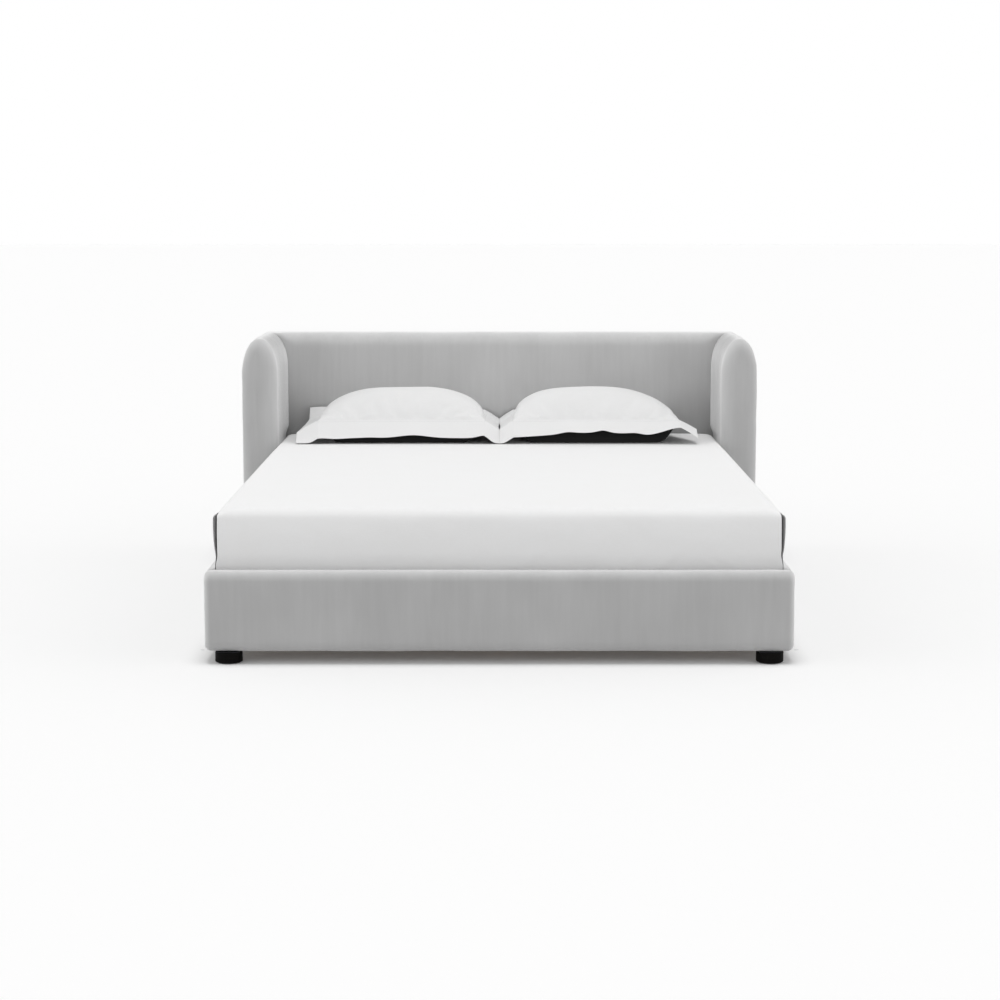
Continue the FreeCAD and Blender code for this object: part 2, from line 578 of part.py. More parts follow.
def mattress_form(inset, bottom):
    """The mattress block with its upright corners and its top edge rounded."""
    half = MATTRESS_WIDTH / 2 - inset
    y = (MATTRESS_FRONT + inset, MATTRESS_BACK - inset)
    top = MATTRESS_TOP - inset
    upright = lambda e: not lies_on(e, "z", bottom) and not lies_on(e, "z", top)
    form = rounded(box((-half, half), y, (bottom, top)), MATTRESS_EDGE - inset, upright)
    return rounded(form, MATTRESS_EDGE - inset - LAYER_GAP, lambda e: lies_on(e, "z", top))


def make_mattress():
    below = MATTRESS_BOTTOM - 1
    floor = MATTRESS_BOTTOM + TICKING + LAYER_GAP
    skin = TICKING + LAYER_GAP
    nodes["mattress_core"] = mattress_form(skin, floor)
    nodes["mattress_cover"] = mattress_form(0, MATTRESS_BOTTOM).cut(mattress_form(TICKING, below))
    slice_z = (MATTRESS_BOTTOM, MATTRESS_BOTTOM + TICKING)
    wide = box((-MATTRESS_WIDTH, MATTRESS_WIDTH), (FRONT, BACK), slice_z)
    nodes["mattress_underside"] = mattress_form(skin, below).common(wide)
    nodes["fitted_sheet"] = mattress_form(-SHEET, MATTRESS_BOTTOM).cut(mattress_form(-LAYER_GAP, below))


def pillow_form(centre, inset):
    half = PILLOW_WIDTH / 2 - inset
    y = (PILLOW_FRONT + inset, PILLOW_BACK - inset)
    z = (PILLOW_BOTTOM + inset, PILLOW_BOTTOM + PILLOW_LOFT - inset)
    upright = lambda e: not lies_on(e, "z", z[0]) and not lies_on(e, "z", z[1])
    form = rounded(box((centre - half, centre + half), y, z), PILLOW_CORNER - inset, upright)
    form = rounded(form, PILLOW_TOP_ROUND - inset, lambda e: lies_on(e, "z", z[1]))
    return rounded(form, PILLOW_BASE_ROUND - inset, lambda e: lies_on(e, "z", z[0]))


def make_pillow(name, side):
    centre = side * PILLOW_SPACING / 2
    nodes[name + "_pillow"] = pillow_form(centre, SHAM_FABRIC + LAYER_GAP)
    half = PILLOW_WIDTH / 2 + SHAM_FLANGE
    level = PILLOW_BOTTOM + FLANGE_LIFT
    y = (PILLOW_FRONT - SHAM_FLANGE, HEAD_FACE - SOFT_GAP)
    z = (level, level + FLANGE_THICKNESS)
    flange = box((centre - half, centre + half), y, z)
    body = pillow_form(centre, 0)
    slit_x = (centre - PILLOW_WIDTH / 4, centre + PILLOW_WIDTH / 4)
    slit_z = (PILLOW_BOTTOM + PILLOW_LOFT / 2, PILLOW_BOTTOM + PILLOW_LOFT / 2 + SHAM_SLIT)
    slit = box(slit_x, (PILLOW_BACK - SHAM_FABRIC * 2, PILLOW_BACK + 1), slit_z)
    shell = body.fuse(flange).cut(pillow_form(centre, SHAM_FABRIC)).cut(slit)
    nodes[name + "_sham"] = shell.removeSplitter()


# ---------------------------------------------------------------- build


make_front_rail()
for side_name, side_sign in SIDES.items():
    make_side_rail(side_name, side_sign)
    make_wing(side_name, side_sign)
    make_pillow(side_name, side_sign)
make_headboard()
make_ledgers()
make_slats()
make_centre_support()
make_feet()
make_rail_fittings()
make_wing_bolts()
make_base_screws()
make_saddle_screws()
make_mattress()

for node, shape in nodes.items():
    valid = shape.isValid() and all(s.isValid() for s in shape.Solids)
    print(f"{node:26s} solids {len(shape.Solids):3d} valid {valid} volume {shape.Volume / 1e6:9.3f} litres")
    shape.exportStep(f"parts/{node}.step")
print(len(nodes), "nodes, overall", 2 * WING_OUTER, LENGTH, HEAD_TOP)
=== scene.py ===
import json
import math
import random

import bmesh
import bpy
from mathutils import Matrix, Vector, noise

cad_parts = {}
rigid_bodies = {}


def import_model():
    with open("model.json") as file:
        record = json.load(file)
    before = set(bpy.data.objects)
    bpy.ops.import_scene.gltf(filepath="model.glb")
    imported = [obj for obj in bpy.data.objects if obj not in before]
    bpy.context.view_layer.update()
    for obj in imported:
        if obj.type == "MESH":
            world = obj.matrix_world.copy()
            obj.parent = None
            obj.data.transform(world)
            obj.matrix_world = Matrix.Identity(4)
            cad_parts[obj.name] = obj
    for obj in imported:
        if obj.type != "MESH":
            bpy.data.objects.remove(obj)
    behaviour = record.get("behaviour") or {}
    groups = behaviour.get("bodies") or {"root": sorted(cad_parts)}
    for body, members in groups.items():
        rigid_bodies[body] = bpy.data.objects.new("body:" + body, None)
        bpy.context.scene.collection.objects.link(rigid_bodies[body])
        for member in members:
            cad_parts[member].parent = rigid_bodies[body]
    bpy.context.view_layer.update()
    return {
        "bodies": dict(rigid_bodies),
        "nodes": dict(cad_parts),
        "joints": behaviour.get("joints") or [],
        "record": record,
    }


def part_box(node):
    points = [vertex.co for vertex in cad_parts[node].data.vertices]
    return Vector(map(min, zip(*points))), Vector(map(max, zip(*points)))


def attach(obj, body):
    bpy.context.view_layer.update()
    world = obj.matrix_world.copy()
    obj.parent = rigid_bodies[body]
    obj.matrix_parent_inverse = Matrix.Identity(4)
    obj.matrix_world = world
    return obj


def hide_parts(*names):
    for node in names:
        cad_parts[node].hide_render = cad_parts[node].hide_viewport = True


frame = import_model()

NODES = frame["nodes"]
SIDES = {"left": -1, "right": 1}

# Where the frame's parts end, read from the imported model.
RAIL_LOW, RAIL_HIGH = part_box("front_rail_cover")
SIDE_LOW, SIDE_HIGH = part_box("right_rail_cover")
WING_LOW, WING_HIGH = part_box("right_wing_cover")
HEAD_LOW, HEAD_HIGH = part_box("headboard_cover")
PANEL_LOW, PANEL_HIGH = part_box("headboard_back_panel")
BED_SHEET_LOW, BED_SHEET_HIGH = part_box("fitted_sheet")
MATTRESS_LOW, MATTRESS_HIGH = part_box("mattress_cover")

ARCH_HALF = (WING_HIGH.x - WING_LOW.x) / 2
ARCH_CENTRE = (WING_HIGH.x + WING_LOW.x) / 2
ARCH_RISE = 0.122
WING_NOSE_INSIDE = 0.050
WING_NOSE_OUTSIDE = 0.038
WING_NOSE_TOP = 0.046
WING_BROW = 0.004
WING_LEAN = 0.010
HEAD_BROW = 0.047
HEAD_BACK_ROUND = 0.025
HEAD_CROWN = 0.003
RAIL_BROW = 0.026
RAIL_HEEL = 0.033
RAIL_END_ROUND = 0.020
RAIL_END_DEPTH = 0.044
RAIL_COMPRESSED = 0.001
SHEET_CLOTH = 0.0012
EDGE_ROUND = 0.024
HEM_UNDER = 0.075
EDGE_DIP = 0.002
EDGE_DIP_REACH = 0.17
TUCK = 0.0065
FLANGE = 0.062


def smooth(t):
    """Rises from 0 to 1 with level ends."""
    t = min(1.0, max(0.0, t))
    return t * t * (3 - 2 * t)


def between(low, high, count):
    """Evenly spaced numbers, both ends among them."""
    return [low + (high - low) * i / (count - 1) for i in range(count)]


# ---------------------------------------------------------------- mesh making


def piece_from(name, points, faces):
    """A shown object with its place in its mesh and smooth shading."""
    mesh = bpy.data.meshes.new(name)
    mesh.from_pydata([tuple(p) for p in points], [], faces)
    mesh.validate()
    piece = bpy.data.objects.new(name, mesh)
    bpy.context.scene.collection.objects.link(piece)
    mesh.shade_smooth()
    return piece


def point_outwards(piece):
    """Merges doubles and turns a closed mesh's faces to its outside."""
    shell = bmesh.new()
    shell.from_mesh(piece.data)
    bmesh.ops.remove_doubles(shell, verts=shell.verts, dist=1e-5)
    bmesh.ops.dissolve_degenerate(shell, edges=shell.edges, dist=1e-6)
    bmesh.ops.recalc_face_normals(shell, faces=shell.faces)
    shell.to_mesh(piece.data)
    shell.free()
    piece.data.shade_smooth()
    return piece


def loft(name, loops, capped=(True, True)):
    """A skin through closed loops that all have the same number of points."""
    size = len(loops[0])
    points = [p for loop in loops for p in loop]
    faces = []
    for row in range(len(loops) - 1):
        for i in range(size):
            after = (i + 1) % size
            faces.append((row * size + i, row * size + after, (row + 1) * size + after, (row + 1) * size + i))
    if capped[0]:
        faces.append(tuple(range(size - 1, -1, -1)))
    if capped[1]:
        start = (len(loops) - 1) * size
        faces.append(tuple(range(start, start + size)))
    return piece_from(name, points, faces)


def rounded_outline(low, high, rounds, turn=7, along=(6, 20)):
    """A rectangle's outline with four corner rounds, from the low corner anticlockwise."""
    corners = [(low[0], low[1]), (high[0], low[1]), (high[0], high[1]), (low[0], high[1])]
    inward = [(1, 1), (-1, 1), (-1, -1), (1, -1)]
    arcs = []
    for corner, way, radius, start in zip(corners, inward, rounds, (2, 3, 0, 1)):
        centre = (corner[0] + way[0] * radius, corner[1] + way[1] * radius)
        arc = []
        for step in range(turn + 1):
            angle = (start + step / turn) * math.pi / 2
            arc.append((centre[0] + radius * math.cos(angle), centre[1] + radius * math.sin(angle)))
        arcs.append(arc)
    outline = []
    for side, arc in enumerate(arcs):
        onward = arcs[(side + 1) % 4][0]
        outline += arc
        count = along[side % 2]
        for step in range(1, count):
            share = step / count
            outline.append(tuple(arc[-1][k] + (onward[k] - arc[-1][k]) * share for k in (0, 1)))
    return outline


def ripple(piece, depth, size, seed, keep=None):
    """Moves the cloth in and out a little along its own normals, as foam under it gives."""
    mesh = piece.data
    offset = Vector((seed * 7.31, seed * 3.17, seed * 1.93))
    normals = [v.normal.copy() for v in mesh.vertices]
    for vertex, normal in zip(mesh.vertices, normals):
        amount = depth * noise.noise(vertex.co / size + offset)
        amount += depth * 0.35 * noise.noise(vertex.co / (size * 0.31) + offset)
        if keep is not None:
            amount *= keep(vertex.co)
        vertex.co += normal * amount
    mesh.update()
    return piece


class Fastening:
    """Small things set end to end along a path by Geometry Nodes: stitches or staples."""

    def __init__(self, name, rounded):
        self.tree = bpy.data.node_groups.new(name, "GeometryNodeTree")
        sockets = (
            ("Path", "Geometry"), ("Spacing", "Float"), ("Half size", "Vector"), ("Finish", "Material"),
        )
        for label, kind in sockets:
            self.tree.interface.new_socket(label, in_out="INPUT", socket_type=f"NodeSocket{kind}")
        self.tree.interface.new_socket("Pieces", in_out="OUTPUT", socket_type="NodeSocketGeometry")
        given = self.node("NodeGroupInput")
        line = self.node("GeometryNodeMeshToCurve")
        evenly = self.node("GeometryNodeResampleCurve")
        evenly.mode = "LENGTH"
        shape = self.node("GeometryNodeMeshIcoSphere" if rounded else "GeometryNodeMeshCube")
        if not rounded:
            shape.inputs["Size"].default_value = (2.0, 2.0, 2.0)
        onward = self.node("FunctionNodeAlignRotationToVector")
        onward.axis = "X"
        placed = self.node("GeometryNodeInstanceOnPoints")
        real = self.node("GeometryNodeRealizeInstances")
        finish = self.node("GeometryNodeSetMaterial")
        result = self.node("NodeGroupOutput")
        joins = (
            (given.outputs["Path"], line.inputs["Mesh"]),
            (line.outputs["Curve"], evenly.inputs["Curve"]),
            (given.outputs["Spacing"], evenly.inputs["Length"]),
            (evenly.outputs["Curve"], placed.inputs["Points"]),
            (shape.outputs["Mesh"], placed.inputs["Instance"]),
            (self.node("GeometryNodeInputTangent").outputs["Tangent"], onward.inputs["Vector"]),
            (onward.outputs["Rotation"], placed.inputs["Rotation"]),
            (given.outputs["Half size"], placed.inputs["Scale"]),
            (placed.outputs["Instances"], real.inputs["Geometry"]),
            (real.outputs["Geometry"], finish.inputs["Geometry"]),
            (given.outputs["Finish"], finish.inputs["Material"]),
            (finish.outputs["Geometry"], result.inputs["Pieces"]),
        )
        for source, target in joins:
            self.tree.links.new(source, target)

    def node(self, kind):
        return self.tree.nodes.new(kind)

    def along(self, name, paths, spacing, half_size, material, body, slot):
        """Sets them along each path, as one piece."""
        points, edges = [], []
        for path in paths:
            start = len(points)
            points += [tuple(p) for p in path]
            edges += [(i, i + 1) for i in range(start, len(points) - 1)]
        guide = bpy.data.meshes.new(name)
        guide.from_pydata(points, edges, [])
        piece = bpy.data.objects.new(name, guide)
        bpy.context.scene.collection.objects.link(piece)
        modifier = piece.modifiers.new("fastening", "NODES")
        modifier.node_group = self.tree
        values = {"Spacing": spacing, "Half size": half_size, "Finish": material}
        for item in self.tree.interface.items_tree:
            if item.name in values:
                modifier[item.identifier] = values[item.name]
        graph = bpy.context.evaluated_depsgraph_get()
        made = bpy.data.meshes.new_from_object(piece.evaluated_get(graph), depsgraph=graph)
        piece.modifiers.clear()
        piece.data = made
        made.shade_smooth()
        return finish_piece(piece, body, None)


def mark_painted_shade(piece, amount):
    """Marks where painted shade darkens the velvet's base colour, from 0 to 1."""
    marks = piece.data.attributes.new("painted_shade", "FLOAT", "POINT")
    marks.data.foreach_set("value", [amount(v.co) for v in piece.data.vertices])
    return piece


def finish_piece(piece, body, stands_for, material=None):
    """Gives a piece its finish, its body and the CAD nodes that it stands for."""
    if material is not None:
        piece.data.materials.clear()
        piece.data.materials.append(material)
    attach(piece, body)
    if stands_for:
        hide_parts(*stands_for)
    return piece


# ---------------------------------------------------------------- materials


class Finish:
    """A node material with short calls for the nodes that this bed's finishes share."""

    def __init__(self, name, roughness, **constants):
        self.material = bpy.data.materials.new(name)
        self.material.use_nodes = True
        self.tree = self.material.node_tree
        self.shader = self.tree.nodes["Principled BSDF"]
        self.shader.inputs["Roughness"].default_value = roughness
        for socket, value in constants.items():
            self.shader.inputs[socket.replace("_", " ")].default_value = value
        self.place = self.node("ShaderNodeTexCoord").outputs["Object"]
        self.height = None

    def node(self, kind, **settings):
        made = self.tree.nodes.new(kind)
        for key, value in settings.items():
            setattr(made, key, value)
        return made

    def link(self, source, target):
        self.tree.links.new(source, target)

    def stretched(self, scale):
        """The object's own coordinates, scaled along each axis."""
        mapping = self.node("ShaderNodeMapping")
        mapping.inputs["Scale"].default_value = scale
        self.link(self.place, mapping.inputs["Vector"])
        return mapping.outputs["Vector"]

    def cloudy(self, scale, detail=3.0, roughness=0.5, distortion=0.0):
        """Noise of about 1/scale metres along each axis."""
        cloud = self.node("ShaderNodeTexNoise")
        cloud.inputs["Scale"].default_value = 1.0
        cloud.inputs["Detail"].default_value = detail
        cloud.inputs["Roughness"].default_value = roughness
        cloud.inputs["Distortion"].default_value = distortion
        self.link(self.stretched(scale), cloud.inputs["Vector"])
        return cloud.outputs["Fac"]

    def bands(self, direction, scale, distortion=0.0, detail=1.0):
        """Even ribs across one axis."""
        wave = self.node("ShaderNodeTexWave", bands_direction=direction)
        wave.inputs["Scale"].default_value = scale
        wave.inputs["Distortion"].default_value = distortion
        wave.inputs["Detail"].default_value = detail
        self.link(self.place, wave.inputs["Vector"])
        return wave.outputs["Fac"]

    def cells(self, scale, feature="F1"):
        """Voronoi cells of about 1/scale metres."""
        grain = self.node("ShaderNodeTexVoronoi", feature=feature)
        grain.inputs["Scale"].default_value = scale
        self.link(self.place, grain.inputs["Vector"])
        return grain.outputs["Distance"]

    def ranged(self, value, low, high, start=0.0, end=1.0):
        """value from start..end laid over low..high, held at the ends."""
        spread = self.node("ShaderNodeMapRange", clamp=True)
        self.link(value, spread.inputs["Value"])
        for socket, number in zip(("From Min", "From Max", "To Min", "To Max"), (start, end, low, high)):
            spread.inputs[socket].default_value = number
        return spread.outputs["Result"]

    def joined(self, first, second, way="ADD", share=1.0):
        """Two values put together."""
        sum_node = self.node("ShaderNodeMath", operation="MULTIPLY_ADD" if way == "ADD" else way)
        self.link(second if way == "ADD" else first, sum_node.inputs[0])
        if way == "ADD":
            sum_node.inputs[1].default_value = share
            self.link(first, sum_node.inputs[2])
        else:
            self.link(second, sum_node.inputs[1])
        return sum_node.outputs["Value"]

    def colour(self, value, stops):
        """A colour ramp from value to the shader's base colour."""
        ramp = self.node("ShaderNodeValToRGB")
        self.link(value, ramp.inputs["Fac"])
        elements = ramp.color_ramp.elements
        while len(elements) < len(stops):
            elements.new(0.5)
        for element, (position, shade) in zip(elements, stops):
            element.position = position
            element.color = (*shade, 1.0)
        self.link(ramp.outputs["Color"], self.shader.inputs["Base Color"])
        return ramp.outputs["Color"]

    def rough(self, value, low, high):
        """Roughness that follows a value."""
        self.link(self.ranged(value, low, high), self.shader.inputs["Roughness"])

    def raised(self, value, distance, strength=1.0):
        """Adds a bump of that height to what is already there."""
        bump = self.node("ShaderNodeBump")
        bump.inputs["Distance"].default_value = distance
        bump.inputs["Strength"].default_value = strength
        self.link(value, bump.inputs["Height"])
        if self.height is not None:
            self.link(self.height, bump.inputs["Normal"])
        self.height = bump.outputs["Normal"]
        self.link(self.height, self.shader.inputs["Normal"])


def grey(level, warmth=0.0):
    """A nearly neutral shade, a little warm or cool."""
    return (level * (1 + warmth), level, level * (1 - warmth))


# Painted sheen: at grazing angles the velvet's base colour grows up to this many times lighter.
PAINTED_SHEEN_GAIN = 1.40
# Painted shade: in the marked corners the velvet's base colour falls to this share of itself.
PAINTED_SHADE_LEVEL = 0.71


def velvet_finish(name, level):
    """Short cotton velvet: brushed streaks that run down, soft patches and a fine pile, under a painted sheen
    that lightens the base colour at grazing angles and painted shade where a piece marks its shaded corners.
    """
    finish = Finish(name, 0.85, Sheen_Weight=1.0, Sheen_Roughness=0.32)
    finish.shader.inputs["Specular IOR Level"].default_value = 0.12
    finish.shader.inputs["Sheen Tint"].default_value = (1.0, 1.0, 1.0, 1.0)
    patches = finish.cloudy((7.0, 7.0, 4.0), detail=2.0)
    streaks = finish.cloudy((55.0, 55.0, 4.5), detail=3.0, roughness=0.6, distortion=0.3)
    pile = finish.cloudy((950.0, 950.0, 700.0), detail=2.0, roughness=0.65)
    broad = finish.ranged(patches, 0.0, 0.55, 0.3, 0.7)
    brushed = finish.ranged(streaks, 0.0, 1.0, 0.3, 0.7)
    nap = finish.joined(broad, brushed, share=0.35)
    nap = finish.joined(nap, pile, share=0.12)
    shade = finish.colour(nap, [(0.15, grey(level * 0.95)), (0.55, grey(level)), (1.0, grey(level * 1.06))])
    # Painted sheen: the base colour grows lighter where the surface is seen edge-on.
    painted_sheen = finish.ranged(finish.node("ShaderNodeLayerWeight").outputs["Facing"], 1.0, PAINTED_SHEEN_GAIN)
    # Painted shade: the marked corners darken the base colour.
    painted_shade = finish.node("ShaderNodeAttribute", attribute_name="painted_shade").outputs["Fac"]
    painted_sheen_and_shade = finish.joined(painted_sheen, finish.ranged(painted_shade, 1.0, PAINTED_SHADE_LEVEL), "MULTIPLY")
    lit = finish.node("ShaderNodeVectorMath", operation="SCALE")
    finish.link(shade, lit.inputs["Vector"])
    finish.link(painted_sheen_and_shade, lit.inputs["Scale"])
    finish.link(lit.outputs["Vector"], finish.shader.inputs["Base Color"])
    finish.rough(nap, 0.92, 0.78)
    finish.raised(streaks, 0.0005, 0.3)
    finish.raised(pile, 0.0004, 0.5)
    return finish.material


def cotton_finish(name, level, thread=900.0, softness=0.0012):
    """Plain woven cotton: threads both ways with slubs, and a soft unevenness."""
    finish = Finish(name, 0.8, Sheen_Weight=0.2, Sheen_Roughness=0.5)
    finish.shader.inputs["Specular IOR Level"].default_value = 0.2
    warp = finish.bands("X", thread, distortion=0.6)
    weft = finish.bands("Y", thread, distortion=0.6)
    rise = finish.bands("Z", thread, distortion=0.6)
    weave = finish.joined(finish.joined(warp, weft), rise)
    slubs = finish.cloudy((70.0, 240.0, 240.0), detail=4.0, roughness=0.65)
    soft = finish.cloudy((9.0, 9.0, 9.0), detail=2.0)
    shade = finish.joined(finish.ranged(slubs, 0.0, 0.7), soft, share=0.3)
    finish.colour(shade, [(0.2, grey(level * 0.965, 0.004)), (0.75, grey(level, -0.003))])
    finish.rough(slubs, 0.72, 0.9)
    finish.raised(soft, softness, 0.5)
    finish.raised(slubs, 0.0003, 0.4)
    finish.raised(weave, 0.00012, 0.35)
    return finish.material


def wood_finish(name, along, light, dark, rings=22.0, roughness=0.62):
    """Planed softwood: growth bands along the board, fine fibres and a few knots."""
    axis = "XYZ".index(along)
    finish = Finish(name, roughness)
    finish.shader.inputs["Specular IOR Level"].default_value = 0.3
    long_way = [rings] * 3
    long_way[axis] = rings * 0.07
    fibre_way = [420.0] * 3
    fibre_way[axis] = 9.0
    growth = finish.cloudy(long_way, detail=2.0, distortion=1.4)
    fibres = finish.cloudy(fibre_way, detail=3.0, roughness=0.7)
    rings_seen = finish.node("ShaderNodeMath", operation="PINGPONG")
    finish.link(finish.ranged(growth, 0.0, 6.0), rings_seen.inputs[0])
    rings_seen.inputs[1].default_value = 0.5
    grain = finish.joined(finish.ranged(rings_seen.outputs["Value"], 0.0, 0.8, 0.0, 0.5), fibres, share=0.45)
    knots = finish.cells(5.5)
    knot_shade = finish.ranged(knots, 0.45, 0.0, 0.02, 0.07)
    grain = finish.joined(grain, knot_shade)
    mid = tuple((a + b) / 2 for a, b in zip(light, dark))
    finish.colour(grain, [(0.1, light), (0.65, mid), (1.15, dark)])
    finish.rough(fibres, roughness - 0.1, roughness + 0.15)
    finish.raised(grain, 0.0004, 0.4)
    finish.raised(fibres, 0.0003, 0.5)
    return finish.material


def lacquer_finish():
    """Black stained hardwood under satin lacquer, with soft patches of dust."""
    finish = Finish("black_wood", 0.5)
    finish.shader.inputs["Specular IOR Level"].default_value = 0.05
    grain = finish.cloudy((160.0, 160.0, 16.0), detail=4.0, roughness=0.65, distortion=0.8)
    dust = finish.cloudy((45.0, 45.0, 45.0), detail=3.0)
    finish.colour(finish.joined(grain, dust, share=0.4), [(0.35, grey(0.003)), (0.9, grey(0.007, 0.1))])
    finish.rough(dust, 0.42, 0.6)
    finish.raised(grain, 0.0003, 0.5)
    return finish.material


def steel_finish(name, dark, light):
    """Plated steel, formed in a press: a spangle and fine rolling marks."""
    finish = Finish(name, 0.34, Metallic=1.0)
    spangle = finish.cells(420.0)
    rolling = finish.cloudy((900.0, 60.0, 900.0), detail=3.0)
    shade = finish.joined(finish.ranged(spangle, 0.0, 0.6), rolling, share=0.5)
    finish.colour(shade, [(0.1, dark), (0.9, light)])
    finish.rough(shade, 0.26, 0.46)
    finish.raised(rolling, 0.0001, 0.4)
    return finish.material


def fibre_finish(name, dark, light, scale, bump=0.0006, roughness=0.95):
    """Pressed felt, foam or other matted stuff."""
    finish = Finish(name, roughness, Sheen_Weight=0.15)
    matted = finish.cloudy((scale, scale, scale * 0.8), detail=5.0, roughness=0.75, distortion=0.8)
    broad = finish.cloudy((scale * 0.06, scale * 0.06, scale * 0.06), detail=2.0)
    finish.colour(finish.joined(matted, broad, share=0.4), [(0.4, dark), (0.9, light)])
    finish.rough(matted, roughness - 0.12, roughness)
    finish.raised(matted, bump, 0.7)
    return finish.material


def plastic_finish():
    """Moulded nylon with a fine spark-eroded texture."""
    finish = Finish("glide_plastic", 0.5)
    sparks = finish.cells(1500.0)
    cloud = finish.cloudy((30.0, 30.0, 30.0), detail=2.0)
    finish.colour(cloud, [(0.3, grey(0.018)), (0.7, grey(0.032))])
    finish.rough(cloud, 0.42, 0.58)
    finish.raised(sparks, 0.0001, 0.5)
    return finish.material


def webbing_finish():
    """Woven polypropylene tape with ribs across it."""
    finish = Finish("black_webbing", 0.6)
    ribs = finish.bands("Y", 210.0)
    threads = finish.bands("X", 330.0, distortion=0.4)
    woven = finish.joined(ribs, threads, share=0.5)
    finish.colour(woven, [(0.2, grey(0.012)), (1.2, grey(0.05))])
    finish.rough(woven, 0.5, 0.75)
    finish.raised(woven, 0.0004, 0.7)
    return finish.material


def ticking_finish():
    """Mattress ticking: a knitted border with soft quilt lines."""
    finish = Finish("mattress_ticking", 0.85, Sheen_Weight=0.2)
    finish.shader.inputs["Specular IOR Level"].default_value = 0.2
    stripes = finish.bands("Y", 12.0)
    knit = finish.cloudy((620.0, 620.0, 620.0), detail=2.0, roughness=0.7)
    shade = finish.joined(finish.ranged(stripes, 0.0, 0.6, 0.75, 0.95), knit, share=0.5)
    finish.colour(shade, [(0.2, grey(0.78, 0.01)), (0.85, grey(0.66, 0.0))])
    finish.rough(knit, 0.76, 0.92)
    finish.raised(knit, 0.0004, 0.5)
    return finish.material


VELVET = velvet_finish("grey_velvet", 0.515)
WING_VELVET = velvet_finish("grey_velvet_wings", 0.515)
# Painted light: the headboard's velvet is the rails' cloth made lighter, as the headboard takes more light.
HEAD_VELVET_PAINTED_LIGHTER = velvet_finish("grey_velvet_headboard_painted_lighter", 0.565)
SHEET_COTTON = cotton_finish("sheet_cotton", 0.955)
# Painted shade: a near-black cotton for the insides of the sheet's open corner slits, which are white sheet
# in shade.
SLIT_SHADE = cotton_finish("painted_shade_in_the_slit", 0.05)
SHAM_COTTON = cotton_finish("sham_cotton", 0.86, thread=1050.0)
# Painted shadow: the shams' lower skins are near-black, to stand for the shade under the white flange.
SHAM_UNDERSIDE_PAINTED_SHADOW = cotton_finish("sham_underside_painted_shadow", 0.016, thread=1050.0)
TICKING = ticking_finish()
THREAD = fibre_finish("sewing_thread", grey(0.55), grey(0.72), 2600.0, bump=0.0001)
GREY_THREAD = fibre_finish("grey_thread", grey(0.24), grey(0.33), 2600.0, bump=0.0001)
LACQUER = lacquer_finish()
STEEL = steel_finish("zinc_steel", (0.50, 0.51, 0.53), (0.72, 0.73, 0.74))
DARK_STEEL = steel_finish("phosphated_steel", (0.012, 0.012, 0.013), (0.03, 0.03, 0.032))
FELT = fibre_finish("grey_felt", grey(0.045), grey(0.11), 900.0)
PLASTIC = plastic_finish()
WEBBING = webbing_finish()
PINE_LIGHT = (0.66, 0.46, 0.26)
PINE_DARK = (0.46, 0.27, 0.125)
PINE = {
    axis: wood_finish(f"pine_along_{axis.lower()}", axis, PINE_LIGHT, PINE_DARK) for axis in "XYZ"
}
PLY_LIGHT = (0.60, 0.44, 0.27)
PLY_DARK = (0.44, 0.30, 0.17)
PLYWOOD = wood_finish("plywood_along_z", "Z", PLY_LIGHT, PLY_DARK, rings=9.0)

# ---------------------------------------------------------------- upholstery


def make_front_rail():
    """The foot-end rail: foam over a board, rounded at its top, its ends and its heel."""
    half = RAIL_HIGH.x - RAIL_COMPRESSED
    loops = []
    turn = 9
    places = []
    for step in range(turn + 1):
        angle = math.pi / 2 * step / turn
        places.append((half - RAIL_END_ROUND * (1 - math.sin(angle)), 1 - math.cos(angle)))
    stations = [(-x, d) for x, d in reversed(places)]
    inner = half - RAIL_END_ROUND
    stations += [(x, 0.0) for x in between(-inner, inner, 130)[1:-1]]
    stations += places
    for x, inset in stations:
        low = (RAIL_LOW.y + RAIL_END_DEPTH * inset, RAIL_LOW.z + RAIL_END_ROUND * 0.8 * inset)
        high = (RAIL_HIGH.y, RAIL_HIGH.z - RAIL_END_ROUND * inset)
        room = (high[0] - low[0]) * 0.98
        brow = min(RAIL_BROW, room * 0.75)
        rounds = (min(RAIL_HEEL, room * 0.6), min(0.004, room * 0.2), min(0.008, room * 0.24), brow)
        outline = rounded_outline(low, high, rounds, along=(5, 26))
        loops.append([(x, y, z) for y, z in outline])
    piece = point_outwards(loft("front_rail_upholstery", loops))

    def free(p):
        return smooth((RAIL_HIGH.y - p.y) / 0.02)

    return ripple(piece, 0.0011, 0.10, 1, free)


def make_side_rail(name, side):
    """A side rail, thin foam over a board, between the foot-end rail and the wing."""
    inner, outer = SIDE_LOW.x, SIDE_HIGH.x
    loops = []
    for y in between(SIDE_LOW.y, SIDE_HIGH.y, 120):
        outline = rounded_outline(
            (inner, SIDE_LOW.z), (outer, SIDE_HIGH.z), (0.003, 0.010, 0.0235, 0.0035), along=(4, 24)
        )
        loops.append([(side * x, y, z) for x, z in outline])
    piece = point_outwards(loft(f"{name}_rail_upholstery", loops))

    def free(p):
        return smooth((abs(p.x) - inner) / 0.015) * smooth((p.y - SIDE_LOW.y) / 0.03)

    return ripple(piece, 0.0009, 0.10, 2 + side, free)


def rounded_off(depth, radius):
    """How far a rounded edge stands back from its side, at a depth behind its face."""
    left = max(0.0, radius - depth)
    return radius - math.sqrt(max(0.0, radius * radius - left * left))


